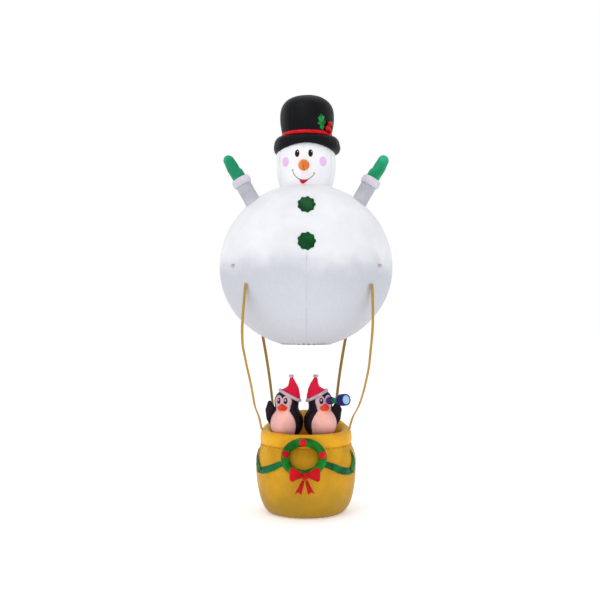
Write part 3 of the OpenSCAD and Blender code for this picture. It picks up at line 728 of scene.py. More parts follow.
def make_balloon():
    low, high = -asin((BALLOON_Z - BALLOON_FOOT) / BALLOON_DOWN), radians(79)
    line = [(BALLOON_R * cos(a), BALLOON_Z + (BALLOON_UP if a > 0 else BALLOON_DOWN) * sin(a))
            for a in steps(low, high, 189)]
    skin = displace(lathe("balloon_skin", line, 300), balloon_height)
    finish_piece(skin, "white", "balloon", "white_fabric", ["balloon_shell"])
    for seam in BALLOON_SEAMS:
        path = [around(balloon_radius(z) - 0.0026, seam, z) for z in steps(1.469, 2.20, 150)]
        thread(f"balloon_seam_{seam}", path, 0.0017, "pale_line", "balloon", "white_fabric", flat=0.5,
               up=outward)
    rows = [(0.002 + 0.2236 * (k / 24), 1.4655 - 0.006 * (1 - (k / 24) ** 2) ** 0.5) for k in range(25)]
    floor = lathe("balloon_floor_panel", rows, 160)
    displace(floor, lambda co, n: 0.0016 * np.cos(np.radians(azimuth(co)) * 28)
             * (np.hypot(co[:, 0], co[:, 1]) / 0.22) ** 3 + 0.001 * lumps(co, 0.05))
    finish_piece(floor, "white", "balloon", "white_fabric", ["balloon_floor"])


# ---- Head and face ----

# The azimuth that the face looks towards, and the head's seams
FACE_TURN = -4.5
HEAD_SEAMS = (FACE_TURN, 58, 180, -62)


def make_head():
    line = [(head_radius(z), z) for z in steps(2.832, 3.245, 110)]
    head = lathe("head_skin", line, 220)

    def height(co, normals):
        az = azimuth(co)
        h = 0.0012 * lumps(co, 0.09) + 0.0008 * lumps(co, 0.035)
        for seam in HEAD_SEAMS:
            d = np.radians(turn_gap(az, seam)) * 0.25
            h -= 0.0024 * near(d, 0, 0.005)
        neck = fade(co[:, 2] - 2.84, 0.018)
        return h + 0.0014 * neck * np.cos(np.radians(az) * 38) - 0.001 * neck
    displace(head, height)
    finish_piece(head, "head", "balloon", "white_fabric", ["head_shell"])
    collar = [around(0.2225 + 0.0008 * cos(radians(az) * 38), az, 2.8425) for az in range(0, 360, 2)]
    thread("neck_seam", collar, 0.0018, "pale_line", "balloon", "white_fabric", loop=True)
    for az in HEAD_SEAMS:
        low = 3.155 if az == FACE_TURN else 2.85
        path = [around(head_radius(z) - 0.0016, az, z) for z in steps(low, 3.225, 40)]
        thread(f"head_seam_{int(az) % 360}", path, 0.0017, "pale_line", "balloon", "white_fabric", flat=0.6,
               up=outward)


def make_face():
    def on_head(az):
        return seen_from(head_radius, az + FACE_TURN)
    pieces = []
    for name, place in (("left", on_head(-12.8)), ("right", on_head(12.8))):
        ball = patch(f"eye_{name}", place, oval(0.020, 0.032, x=0, z=3.107), 0.0012, 0.005)
        dot = patch(f"eye_{name}_spark", place, oval(0.0034, 0.0055, 20, 0.0065, 3.120), 0.0054, 0.0012)
        pieces += [(ball, "ink"), (dot, "shine")]
    for name, az in (("left", -38.5), ("right", 38.5)):
        cheek = patch(f"cheek_{name}", on_head(az), oval(0.038, 0.040, x=0, z=3.043), 0.0008, 0.003)
        pieces.append((cheek, "cheek"))
    front = on_head(0)
    smile = 0.098
    mouth = [front(smile * cos(radians(a)), 2.978 + smile * sin(radians(a)), 0.0012)
             for a in range(188, 335, 2)]
    pieces.append((tube("mouth_line", mouth, 0.003, 8, flat=0.5, up=outward), "grey_line"))
    for name, a in (("left", 188), ("right", 334)):
        c, s = cos(radians(a)), sin(radians(a))
        tick = [front((smile + t) * c, 2.978 + (smile + t) * s + 0.004, 0.0012)
                for t in (-0.008, -0.003, 0.003, 0.008)]
        pieces.append((tube(f"mouth_end_{name}", tick, 0.0027, 8, flat=0.5, up=outward), "grey_line"))
    lip = [(x, 2.979 - sqrt(smile ** 2 - x * x)) for x in [0.047 - 0.089 * k / 16 for k in range(17)]]
    low = [(-.038, 2.874), (-.028, 2.858), (-.014, 2.849), (.000, 2.851), (.016, 2.862), (.034, 2.879)]
    pieces.append((patch("tongue", front, lip + low, 0.0012, 0.004, centre=(-0.004, 2.868)), "tongue"))
    for piece, material in pieces:
        finish_piece(piece, material, "balloon", "white_fabric")
    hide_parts("snowman_face")


def make_nose():
    turn = Matrix.Rotation(radians(FACE_TURN), 4, "Z")
    rows = []
    for t in steps(0, 1, 45):
        if t < 0.86:
            u = t / 0.86
            y, r = 0.234 + 0.124 * u, 0.052 - 0.034 * u ** 1.05 + 0.0035 * sin(pi * u)
        else:
            u = (t - 0.86) / 0.14 * pi / 2
            y, r = 0.358 + 0.0165 * sin(u), 0.018 * cos(u) + 0.0004
        rows.append([turn @ V((r * cos(a), -y, 3.006 + r * sin(a))) for a in turns(64)])
    nose = grid_piece("carrot_nose_skin", rows, caps=True)

    def height(co, normals):
        h = 0.0008 * lumps(co, 0.025)
        for y, depth in ((-0.262, 1.0), (-0.288, 0.7), (-0.316, 0.6)):
            wave = 0.4 + 0.6 * np.sin(co[:, 0] * 60 + y * 90) ** 2
            h -= 0.0012 * depth * near(co[:, 1], y, 0.0025) * wave
        return h - 0.0022 * near(co[:, 0] + co[:, 1] * sin(radians(FACE_TURN)), 0.0, 0.0022) \
            - 0.002 * near(co[:, 1], -0.240, 0.004)
    displace(nose, height)
    finish_piece(nose, "carrot", "balloon", "beak_orange", ["carrot_nose"])
    root = [turn @ V((0.0495 * cos(a), -0.2405 - 0.0065 * (1 - abs(cos(a))), 3.006 + 0.0495 * sin(a)))
            for a in [radians(6 * k) for k in range(60)]]
    thread("nose_seam", root, 0.0016, "brown_line", "balloon", "beak_orange", loop=True)
    crease = []
    for k in range(41):
        u = 1 - abs(k - 20) / 20
        a = radians(112 if k < 20 else -84)
        r = 0.0 if k == 20 else 0.0525 - 0.034 * u ** 1.05 + 0.0035 * sin(pi * u)
        y = 0.234 + 0.124 * u + (0.016 if k == 20 else 0)
        crease.append(turn @ V((r * cos(a), -y, 3.006 + r * sin(a))))
    thread("nose_crease", crease, 0.0017, "brown_line", "balloon", "beak_orange")


# ---- Hat ----

# The hat sits a little to the right of the head's axis
HAT_X = 0.009


def make_hat():
    line = [(q.x, q.z) for q in smooth_line([V((r, 0, z)) for r, z in CROWN_LINE], 3)]
    crown = lathe("hat_crown_skin", line, 240, (HAT_X, 0))

    def height(co, normals):
        az = azimuth(co)
        r = np.hypot(co[:, 0], co[:, 1])
        h = 0.0028 * lumps(co, 0.16) + 0.0016 * lumps(co, 0.07, (1, 1, 0.35))
        h += 0.0022 * fade(co[:, 2] - 3.325, 0.03) * np.cos(np.radians(az) * 33)
        h *= 1 - 0.9 * near(co[:, 2], 3.302, 0.022)
        for seam in (-35, 145):
            h -= 0.0032 * np.exp(-(np.radians(turn_gap(az, seam)) * np.maximum(r, 0.02) / 0.005) ** 2)
        edge = near(co[:, 2], 3.628, 0.006) * (r > 0.10)
        return h - 0.0035 * edge * (0.6 + 0.4 * np.cos(np.radians(az) * 44))
    displace(crown, height)
    finish_piece(crown, "black", "balloon", "black_fabric", ["hat_crown"])

    rows = []
    for i in range(240):
        az = i * 1.5
        drop = sin(radians(az)) ** 2
        lean = radians(10 * drop)
        out, up = around(1, az, 0), V((0, 0, 1))
        centre = around(0.262 - 0.014 * drop, az, 3.232 - 0.018 * drop) + V((HAT_X, 0, 0))
        wide = (out * cos(lean) + up * sin(lean)) * (0.036 + 0.010 * drop)
        tall = (up * cos(lean) - out * sin(lean)) * (0.036 + 0.038 * drop)
        row = []
        for a in turns(36):
            seam = exp(-((a - (2 * pi if a > pi else 0)) / 0.16) ** 2)
            flare = 1 - 0.07 * seam + 0.02 * cos(radians(az) * 36) * exp(-(sin(a) / 0.4) ** 2)
            row.append(centre + wide * cos(a) * flare + tall * sin(a))
        rows.append(row)
    brim = grid_piece("hat_brim_skin", rows, loop=True)
    displace(brim, lambda co, n: 0.0022 * lumps(co, 0.07) + 0.0012 * lumps(co, 0.03, (1, 1, 0.5)))
    finish_piece(brim, "black", "balloon", "black_fabric", ["hat_brim"])

    rows = []
    for i in range(240):
        az = i * 1.5
        gather = 0.0006 * cos(radians(az) * 50) + 0.0006 * noise.noise(around(6, az, 0))
        rows.append([around(0.2205 + 0.0048 * sin(pi * k / 10) ** 0.5 + gather, az, 3.289 + 0.003 * k)
                     + V((HAT_X, 0, 0)) for k in range(11)])
    ribbon = grid_piece("hat_band_ribbon", rows, ring=False, loop=True)
    finish_piece(ribbon, "band", "balloon", "santa_red", ["hat_band"])


def make_holly():
    def leaf(name, az, x0, z0, lean, length, width, material):
        place = seen_from(crown_radius, az, (HAT_X, 0))
        turn = radians(lean)
        side = [(0, .04), (.06, .28), (.17, .62), (.26, .40), (.36, .66), (.46, 1.0), (.56, .58), (.66, .62),
                (.77, .78), (.86, .36), (.94, .22), (1, 0)]
        rows = []
        for u in steps(0, 1, 60):
            half = width * float(np.interp(u, [q[0] for q in side], [q[1] for q in side]))
            row = []
            for j in range(25):
                v = 2 * j / 24 - 1
                x, z = v * half, length * u
                vein = 0.0022 * exp(-(v * half / 0.0022) ** 2)
                slant = 0.0012 * max(0.0, cos((u - 0.35 * abs(v)) * 2 * pi * 5)) * (1 - abs(v))
                puff = 0.0085 * (1 - abs(v) ** 2.2) * sin(pi * min(1, max(0, u))) ** 0.35
                row.append(place(x0 + x * cos(turn) - z * sin(turn),
                                 z0 + x * sin(turn) + z * cos(turn), 0.001 + puff - vein + slant))
            rows.append(row)
        piece = grid_piece(name, rows, ring=False)
        finish_piece(piece, material, "balloon", "wreath_green")
        rib = [place(x0 - length * t * sin(turn), z0 + length * t * cos(turn),
                     0.0078 * sin(pi * t) ** 0.35) for t in [0.04 + 0.92 * k / 30 for k in range(31)]]
        thread(f"{name}_rib", rib, 0.0012, "dark_line", "balloon", "wreath_green")
        return piece
    first = leaf("holly_leaf_front", 35, 0.006, 3.321, 12, 0.142, 0.044, "leaf")
    leaf("holly_leaf_side", 67, -0.004, 3.345, -18, 0.118, 0.032, "leaf_dark")
    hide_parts("holly_leaves")
    berries = []
    for k, (az, z, r, out) in enumerate([(52, 3.381, 0.022, 0.245), (47, 3.339, 0.024, 0.238),
                                         (57, 3.319, 0.019, 0.233)]):
        berries.append(puffed_ball(f"holly_berry_{k}", around(out + r * 0.34, az, z) + V((HAT_X, 0, 0)), r,
                                   around(1, az, 0)))
        finish_piece(berries[-1], "berry", "balloon", "santa_red")
    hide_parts("holly_berries")


# ---- Buttons ----

def make_buttons():
    place = seen_from(balloon_radius)
    for name, z in (("upper", 2.627), ("lower", 2.311)):
        outline = []
        for a in turns(144):
            r = 0.0715 + 0.0035 * cos(9 * a) + 0.0008 * cos(23 * a + z)
            outline.append((r * cos(a), z + r * sin(a)))

        def ruffle(turn, t):
            wave = cos(9 * 2 * pi * turn)
            return 0.0024 * wave * t ** 4 - 0.0016 * exp(-((t - 0.80) / 0.05) ** 2) \
                + 0.0009 * wave * exp(-((t - 0.72) / 0.10) ** 2)
        button = patch(f"button_{name}", place, outline, 0.004, 0.0085, 16, (0, z), ruffle)
        finish_piece(button, "button", "balloon", "button_green")
        ring = [place(0.0575 * cos(a), z + 0.0575 * sin(a), 0.0094) for a in turns(90)]
        thread(f"button_{name}_seam", ring, 0.0013, "dark_line", "balloon", "button_green", loop=True)
    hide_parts("coat_buttons")


# ---- Arms and mittens ----

def arm_frame(side):
    return Matrix.Translation((side * 0.450, -0.150, 2.682)) @ Matrix.Rotation(radians(side * 29.6), 4, "Y")


def make_arms():
    for side, name in ((-1, "left"), (1, "right")):
        place = arm_frame(side)
        rows = [[place @ V((*polar(0.068, a), z)) for a in turns(72)] for z in steps(-0.118, 0.207, 65)]
        arm = grid_piece(f"arm_{name}", rows)
        back = place.inverted()

        def height(co, normals, back=back):
            local = co @ np.array(back.to_3x3()).T + np.array(back.translation)
            turn = np.arctan2(local[:, 1], local[:, 0])
            top = fade(0.195 - local[:, 2], 0.018)
            root = fade(local[:, 2] - 0.02, 0.04)
            h = 0.002 * top * np.cos(turn * 22) - 0.001 * top + 0.0025 * root * np.cos(turn * 13 + 0.7)
            h -= 0.0022 * near(np.abs(turn), pi / 2, 0.05) * 0.6
            return h + 0.0022 * lumps(co, 0.06, (1, 1, 1)) + 0.0012 * lumps(co, 0.025)
        displace(arm, height)
        finish_piece(arm, "arm", "balloon", "white_fabric")
        rows = []
        for a in turns(120):
            row = []
            for k in range(25):
                b = pi * (k / 24) - pi / 2
                r = 0.0672 + 0.0165 * cos(b) ** 0.8 * (1 + 0.05 * cos(a * 16) * abs(sin(b)))
                row.append(place @ V((*polar(r, a), 0.222 + 0.036 * sin(b))))
            rows.append(row)
        cuff = grid_piece(f"cuff_{name}", rows, ring=False, loop=True)
        displace(cuff, lambda co, n: 0.0012 * lumps(co, 0.03) + 0.0006 * lumps(co, 0.012))
        finish_piece(cuff, "cuff", "balloon", "white_fabric")
        ring = [place @ V((*polar(0.0712, a), 0.1885))
                for a in [radians(5 * k) for k in range(72)]]
        thread(f"cuff_seam_{name}", ring, 0.0022, "cuff_line", "balloon", "white_fabric", loop=True)
        balls = [[((0, 0, 0.262), 0.058), ((side * 0.008, 0, 0.360), 0.054),
                  ((side * 0.006, 0, 0.438), 0.048)],
                 [((side * -0.020, 0, 0.262), 0.040), ((side * -0.033, 0, 0.312), 0.027)]]
        mitten = blob(f"mitten_{name}", balls, 0.004, 10)

        def crease(co, normals, side=side):
            seam = near(co[:, 1], 0.0, 0.0035)
            rim = near(co[:, 1], 0.0, 0.016)
            h = -0.0030 * seam + 0.0014 * rim * np.cos(co[:, 2] * 2 * pi / 0.016)
            h += 0.0035 * fade(co[:, 2] - 0.255, 0.02) * np.cos(
                np.arctan2(co[:, 1], co[:, 0]) * 18) * 0.6
            fold = co[:, 2] + side * co[:, 0] * 0.5 - 0.452
            h -= 0.0035 * near(fold, 0.0, 0.0035) * (side * co[:, 0] > -0.03)
            crook = (co[:, 0] + side * 0.040) ** 2 + (co[:, 2] - 0.345) ** 2
            h -= 0.004 * np.exp(-crook / 0.0003)
            return h + 0.002 * lumps(co, 0.05) + 0.001 * lumps(co, 0.02)
        displace(mitten, crease)
        mitten.data.transform(place)
        finish_piece(mitten, "mitten", "balloon", "mitten_green")
        if side < 0:
            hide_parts("snowman_arms")
            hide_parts("arm_cuffs")
            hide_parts("mittens")


# ---- Basket ----

BASKET_SEAMS = (-150, -90, 90, 150)
BLOWER_Z = 0.200


def make_basket():
    line = [(0.300 + 0.137 * sin(radians(a)), 0.400 * (1 - cos(radians(a))))
            for a in range(0, 91, 2)]
    line += [(basket_radius(z), z) for z in [0.408 + 0.007 * k for k in range(25)]]
    line += [(0.4008, 0.584), (0.3985, 0.592), (0.394, 0.600), (0.386, 0.606)]
    skin = lathe("basket_skin", line, 300)

    def height(co, normals):
        az = azimuth(co)
        h = 0.003 * lumps(co, 0.17) + 0.0015 * lumps(co, 0.06, (1, 1, 0.4))
        top = fade(0.572 - co[:, 2], 0.035)
        h += 0.0035 * top * np.cos(np.radians(az) * 46) * (1 + 0.5 * lumps(co, 0.2, seed=3.0)) - 0.002 * top
        foot = fade(co[:, 2] - 0.004, 0.02)
        h += 0.0025 * foot * np.cos(np.radians(az) * 40) - 0.0025 * foot
        for seam in BASKET_SEAMS:
            d = np.radians(turn_gap(az, seam)) * 0.42
            h -= 0.0035 * near(d, 0, 0.006) + 0.0012 * near(d, 0, 0.03) * np.cos(co[:, 2] * 130)
        return h
    displace(skin, height)
    bm = bmesh.new()
    bm.from_mesh(skin.data)
    middles = {f: f.calc_center_median() for f in bm.faces}
    hole = [f for f, m in middles.items() if m.y > 0 and hypot(m.x, m.z - BLOWER_Z) < 0.090]
    bmesh.ops.delete(bm, geom=hole, context="FACES")
    bm.to_mesh(skin.data)
    bm.free()
    co = coords(skin.data)
    co[:, 2] = np.maximum(co[:, 2], 0.0)
    set_coords(skin.data, co)
    finish_piece(skin, "gold", "basket", "yellow_fabric", ["basket_shell"])
    for seam in BASKET_SEAMS:
        path = [around(basket_radius(z) - 0.003, seam, z) for z in [0.006 + 0.56 * k / 70 for k in range(71)]]
        thread(f"basket_seam_{seam % 360}", path, 0.002, "gold_line", "basket", "yellow_fabric", flat=0.5,
               up=outward)
    make_sleeve()
    make_rim()
    rows = [(0.002 + 0.394 * (k / 30), 0.5595 + 0.004 * (1 - (k / 30) ** 2)) for k in range(31)]
    deck = lathe("deck_panel", rows, 200)
    displace(deck, lambda co, n: 0.0018 * np.cos(np.radians(azimuth(co)) * 30)
             * (np.hypot(co[:, 0], co[:, 1]) / 0.39) ** 4 + 0.0015 * lumps(co, 0.08))
    finish_piece(deck, "inner", "basket", "yellow_fabric", ["basket_deck"])


def make_sleeve():
    """The gathered cuff around the blower's neck."""
    rows = []
    for t in steps(0, 1, 14):
        row = []
        for a in turns(96):
            r = (0.0985 * (1 - t) + 0.0848 * t - 0.004 * sin(pi * t)
                 + 0.0014 * cos(24 * a) * (1 - 0.5 * t))
            x, z = r * cos(a), BLOWER_Z + r * sin(a)
            wall = sqrt(max(basket_radius(z) ** 2 - x * x, 0.01)) - 0.002
            row.append(V((x, wall * (1 - t) + 0.4300 * t, z)))
        rows.append(row)
    sleeve = grid_piece("blower_sleeve", rows)
    solid = sleeve.modifiers.new("thick", "SOLIDIFY")
    solid.thickness = 0.0012
    finish_piece(baked(sleeve), "gold", "basket", "yellow_fabric")


def rim_lift(az):
    """How much the rim is raised at an azimuth: 0 in front, 1 behind."""
    return ((1 - np.cos(np.radians(az))) / 2) ** 3


def make_rim():
    rows = []
    for i in range(288):
        az = i * 1.25
        lift = rim_lift(az)
        centre = around(0.345, az, 0.6445 + 0.071 * lift)
        out = around(1, az, 0)
        row = []
        for a in turns(44):
            c, s = cos(a), sin(a)
            full = (abs(c) ** 3 + abs(s) ** 3) ** (-1 / 3) if c > 0 else 1.0
            row.append(centre + out * 0.055 * c * full + V((0, 0, (0.066 + 0.071 * lift) * s * full)))
        rows.append(row)
    roll = grid_piece("rim_roll", rows, loop=True)

    def height(co, normals):
        az = azimuth(co)
        lift = rim_lift(az)
        foot = fade(co[:, 2] - 0.585, 0.022)
        h = 0.0025 * foot * np.cos(np.radians(az) * 46) * (1 + 0.6 * lumps(co, 0.2, seed=3.0))
        middle = 0.6445 + 0.071 * lift
        outer = np.hypot(co[:, 0], co[:, 1]) > 0.345
        h -= 0.002 * near(co[:, 2], middle - 0.042 - 0.03 * lift, 0.0045) * outer
        return h + 0.0028 * lumps(co, 0.15) + 0.0018 * lumps(co, 0.06, (1, 1, 0.4))
    displace(roll, height)
    finish_piece(roll, "roll", "basket", "yellow_fabric", ["basket_rim"])
    seam = [around(0.3975 + 0.0010 * cos(radians(az) * 46), az, 0.5935) for az in range(0, 360, 2)]
    thread("rim_seam", seam, 0.0028, "gold_line", "basket", "yellow_fabric", loop=True)


# ---- Ribbons, wreath and bow ----

def make_ribbons():
    routes = {
        "left": ([(-22, .486), (-25, .478), (-31, .466), (-38, .440), (-45, .420), (-52, .405), (-60, .392),
                  (-68, .392)], [.040, .044, .050, .056, .060, .060, .056, .050], 0.0060),
        "left_up": ([(-64, .384), (-68, .425), (-72, .470), (-75, .520), (-76, .566)],
                    [.080, .074, .058, .036, .014], 0.0112),
        "right": ([(14, .490), (18, .482), (25, .462), (33, .438), (41, .412), (49, .396), (57, .388),
                   (65, .392)], [.042, .046, .052, .060, .062, .060, .056, .050], 0.0060),
        "right_up": ([(61, .382), (64, .420), (66, .465), (66, .515), (64, .562)],
                     [.080, .072, .056, .034, .012], 0.0112),
    }
    for name, (route, widths, lift) in routes.items():
        fine = smooth_line([V((az, w, z)) for (az, z), w in zip(route, widths)], 9)
        path = [around(basket_radius(q.z) + lift, q.x, q.z) for q in fine]
        wide = [q.y for q in fine]
        flow = len(name)

        def ripple(run, t, flow=flow):
            return 0.0015 * cos(t * 5.5 + run * 9 + flow) + 0.0014 * sin(t * 13 + run * 26 + flow)
        piece = band(f"ribbon_{name}", path, wide, outward, 0.0012, 17, ripple)
        finish_piece(piece, "ribbon", "basket", "ribbon_green")
        if name == "left":
            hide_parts("ribbon_swag")


# Where the berries sit on the wreath, and where else it is tied in, in degrees from its top
WREATH_BERRIES = (-2, -75, 78)
WREATH_PINCHES = WREATH_BERRIES + (-38, 38, 118, -118, 160, -160)
WREATH_A, WREATH_B = 0.155, 0.130


def wreath_point(a):
    """The middle of the wreath's tube, a degrees round from the top, lying on the basket's front."""
    x = -0.022 + WREATH_A * sin(radians(a))
    z = 0.532 + WREATH_B * cos(radians(a))
    depth = 0.481 - 0.07 * (z - 0.365)
    return V((x, -sqrt(depth * depth - x * x), z))


def wreath_out(a):
    return V((WREATH_A * sin(radians(a)), 0, WREATH_B * cos(radians(a)))).normalized()


def make_wreath():
    rows = []
    for a in range(360):
        centre, out = wreath_point(a), wreath_out(a)
        pinch = 0.0
        for at in WREATH_PINCHES:
            deep = 1.0 if at in WREATH_BERRIES else 0.55
            pinch += deep * exp(-(turn_gap(a, at) / 5.5) ** 2)
        row = []
        for b in turns(40):
            edge = exp(-(sin(b) / 0.22) ** 2)
            crimp = 0.035 * edge * cos(a * pi / 180 * 58)
            crease = 0.03 * cos(5 * b + a * 0.2) * min(1.0, pinch)
            r = 0.0362 * (1 - 0.17 * min(1.0, pinch) - 0.03 * edge + crimp + crease)
            row.append(centre + out * r * cos(b) + V((0, -1, 0)) * r * sin(b))
        rows.append(row)
    ring = grid_piece("wreath_tube", rows, loop=True)
    displace(ring, lambda co, n: 0.0014 * lumps(co, 0.05) + 0.0010 * lumps(co, 0.02))
    finish_piece(ring, "wreath", "basket", "wreath_green", ["wreath_ring"])
    for side in (-1, 1):
        path = [wreath_point(a) + wreath_out(a) * side * 0.0346 for a in range(0, 360, 2)]
        thread(f"wreath_seam_{'inner' if side < 0 else 'outer'}", path, 0.0016, "dark_line", "basket",
               "wreath_green", loop=True)
    balls = []
    for k, a in enumerate(WREATH_BERRIES):
        centre = wreath_point(a) + V((0, -0.024, 0))
        balls.append(puffed_ball(f"wreath_berry_{k}", centre, 0.033, (0.15, -1, 0.1), 18))
        finish_piece(balls[-1], "berry", "basket", "santa_red")
    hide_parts("wreath_berries")


# The middle of the bow
BOW = V((-0.014, -0.546, 0.403))


def make_bow():
    for side, name in ((-1, "left"), (1, "right")):
        balls = [[(BOW + V((side * 0.024, 0, 0.002)), 0.016), (BOW + V((side * 0.102, 0, 0.038)), 0.027),
                  (BOW + V((side * 0.104, 0, -0.028)), 0.024)]]
        loop = blob(f"bow_loop_{name}", balls, 0.003, 8)

        def pleats(co, normals, side=side):
            away = co - np.array(BOW)
            d = np.hypot(away[:, 0], away[:, 2])
            fan = np.arctan2(away[:, 2], side * away[:, 0])
            h = 0.0034 * np.cos(fan * 11) * fade(d - 0.012, 0.035)
            h -= 0.0022 * near(away[:, 1], 0.0, 0.003)
            return h + 0.0016 * lumps(co, 0.03)
        displace(loop, pleats)
        finish_piece(loop, "red", "basket", "red_fabric")
    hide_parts("bow_loops")
    knot = blob("bow_knot", [[(BOW + V((0, -0.026, dz)), 0.017) for dz in (-0.018, 0.010)]
                             + [(BOW + V((dx, -0.022, -0.004)), 0.018) for dx in (-0.014, 0.014)]], 0.0025, 5)
    displace(knot, lambda co, n: 0.0018 * np.cos((co[:, 0] - BOW.x) * 420) + 0.0006 * lumps(co, 0.01))
    finish_piece(knot, "red", "basket", "red_fabric")
    lean = Matrix.Translation((-0.014, -0.567, 0.367)) @ Matrix.Rotation(radians(22), 4, "X")
    for side, name in ((-1, "left"), (1, "right")):
        inner = [(0.002, 0.0), (0.006, -0.034), (0.026, -0.138)]
        outer = [(0.024, 0.0), (0.084, -0.130)]
        rows = []
        for t in steps(0, 1, 40):
            a = [float(np.interp(t, [0, 0.25, 1], [q[k] for q in inner])) for k in (0, 1)]
            b = [outer[0][k] + (outer[1][k] - outer[0][k]) * t for k in (0, 1)]
            row = []
            for u in steps(0, 1, 18):
                notch = 0.020 * (1 - abs(2 * u - 1)) * t ** 6
                x = a[0] * (1 - u) + b[0] * u
                z = a[1] * (1 - u) + b[1] * u + notch
                wave = (0.0035 * cos(u * 9 + t * 2) * (1 - 0.4 * t) * min(1, t * 4)
                        + 0.0012 * sin(t * 16 + u * 4))
                row.append(lean @ V((side * x, -0.002 + wave, z)))
            rows.append(row)
        tail = grid_piece(f"bow_tail_{name}", rows, ring=False)
        solid = tail.modifiers.new("thick", "SOLIDIFY")
        solid.thickness = 0.0016
        finish_piece(baked(tail), "red", "basket", "red_fabric")
    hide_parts("bow_tails")


# ---- Penguins ----

PENGUIN_LINE = [(.072, .560), (.084, .605), (.090, .640), (.096, .672), (.112, .700), (.129, .722),
                (.141, .755), (.145, .795), (.141, .832), (.129, .866), (.113, .892), (.103, .912),
                (.102, .932), (.105, .952)] + [
    (0.106 * cos(radians(a)) + 0.0003, 0.968 + 0.106 * sin(radians(a))) for a in range(0, 91, 10)]
PENGUINS = {"left": (-0.169, -20, -1), "right": (0.124, 20, 1)}
HAT_TILT = 27.5


def penguin_radius(z):
    return float(np.interp(z, [q[1] for q in PENGUIN_LINE], [q[0] for q in PENGUIN_LINE]))


def make_penguin(name):
    x, turn, side = PENGUINS[name]
    centre = (x, -0.100)
    line = [(max(q.x, 0.0003), q.z) for q in smooth_line([V((r, 0, z)) for r, z in PENGUIN_LINE], 4)]
    body = lathe(f"penguin_{name}_skin", line, 128, centre)

    def height(co, normals):
        az = azimuth(co, centre)
        h = 0.0018 * lumps(co, 0.07) + 0.001 * lumps(co, 0.03)
        neck = near(co[:, 2], 0.922, 0.014)
        h += 0.0018 * neck * np.cos(np.radians(az) * 26)
        foot = near(co[:, 2], 0.690, 0.02)
        h += 0.0015 * foot * np.cos(np.radians(az) * 24)
        for seam in (turn + 90, turn - 90, turn + 180):
            h -= 0.002 * np.exp(-(np.radians(turn_gap(az, seam)) * 0.13 / 0.004) ** 2)
        return h
    displace(body, height)
    finish_piece(body, "plum", "basket", "black_fabric", [f"penguin_{name}"])

    place = seen_from(penguin_radius, turn, centre)
    half = [(.045, .655), (.080, .672), (.096, .700), (.110, .738), (.115, .780), (.109, .818), (.095, .850),
            (.078, .874), (.060, .895), (.030, .901)]
    outline = rounded(half + [(-px, pz) for px, pz in reversed(half)], 5)
    belly = patch(f"penguin_{name}_belly", place, outline, 0.0015, 0.005, 14, (0, 0.78))
    finish_piece(belly, "belly", "basket", "belly_fabric")

    def in_face(px, pz):
        lobes = any(((px - c) / 0.039) ** 2 + ((pz - 0.976) / 0.052) ** 2 < 1 for c in (-0.036, 0.036))
        return lobes or (abs(px) < 0.060 + 0.15 * (pz - 0.897) and 0.897 < pz < 0.9565)
    face = patch(f"penguin_{name}_face", place, union_outline(in_face, (0, 0.935), 0.12), 0.0035, 0.0035, 12,
                 (0, 0.935))
    finish_piece(face, "face", "basket", "belly_fabric")
    eyes = []
    for k, ex in enumerate((-0.030, 0.028)):
        pupil, glint = oval(0.0160, 0.0255, 40, ex, 0.981), oval(0.0064, 0.0092, 28, ex - 0.001, 0.987)
        eyes.append(patch(f"penguin_{name}_eye_{k}", place, pupil, 0.0065, 0.0035, 8))
        finish_piece(eyes[-1], "plum", "basket", "black_fabric")
        spark = patch(f"penguin_{name}_eye_{k}_spark", place, glint, 0.0098, 0.0014, 5)
        finish_piece(spark, "face", "basket", "black_fabric")
    flipper = blob(f"penguin_{name}_flipper", [
        [((x + side * 0.147, -0.1, 0.958), 0.019), ((x + side * 0.165, -0.102, 0.900), 0.022),
         ((x + side * 0.155, -0.102, 0.820), 0.022), ((x + side * 0.132, -0.1, 0.775), 0.018),
         ((x + side * 0.108, -0.1, 0.900), 0.016), ((x + side * 0.115, -0.1, 0.840), 0.020)]], 0.004, 10)

    def paddle(co, normals):
        h = -0.0025 * near(co[:, 1], -0.101, 0.003)
        h += 0.0012 * near(co[:, 1], -0.101, 0.014) * np.cos(co[:, 2] * 420)
        return h + 0.0015 * lumps(co, 0.03)
    displace(flipper, paddle)
    finish_piece(flipper, "plum", "basket", "black_fabric")
    beak = make_beak(name, x, turn)
    hat, trim = make_santa_hat(name, x, -side)
    if name == "left":
        for piece, node in ((belly, "penguin_bellies"), (face, "penguin_faces"), (eyes[0], "penguin_eyes"),
                            (flipper, "penguin_flippers"), (beak, "penguin_beaks"), (hat, "penguin_hats"),
                            (trim, "penguin_hat_trims")):
            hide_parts(node)


def make_beak(name, x, turn):
    balls = [((-0.036, -0.102, -0.008), 0.011), ((0.036, -0.102, -0.008), 0.011),
             ((0.0, -0.098, 0.026), 0.011), ((0.0, -0.142, -0.006), 0.019),
             ((-0.022, -0.108, -0.019), 0.014), ((0.022, -0.108, -0.019), 0.014)]
    beak = blob(f"penguin_{name}_beak", [balls], 0.0025, 5)

    def mouth(co, normals):
        h = -0.0022 * near(co[:, 2], -0.001 - 0.05 * np.abs(co[:, 0]), 0.0018)
        return h - 0.0012 * near(co[:, 0], 0.0, 0.0015) * (co[:, 2] > 0) + 0.0007 * lumps(co, 0.012)
    displace(beak, mouth)
    beak.data.transform(Matrix.Translation((x, -0.100, 0.930)) @ Matrix.Rotation(radians(turn), 4, "Z"))
    finish_piece(beak, "beak", "basket", "beak_orange")
    return beak


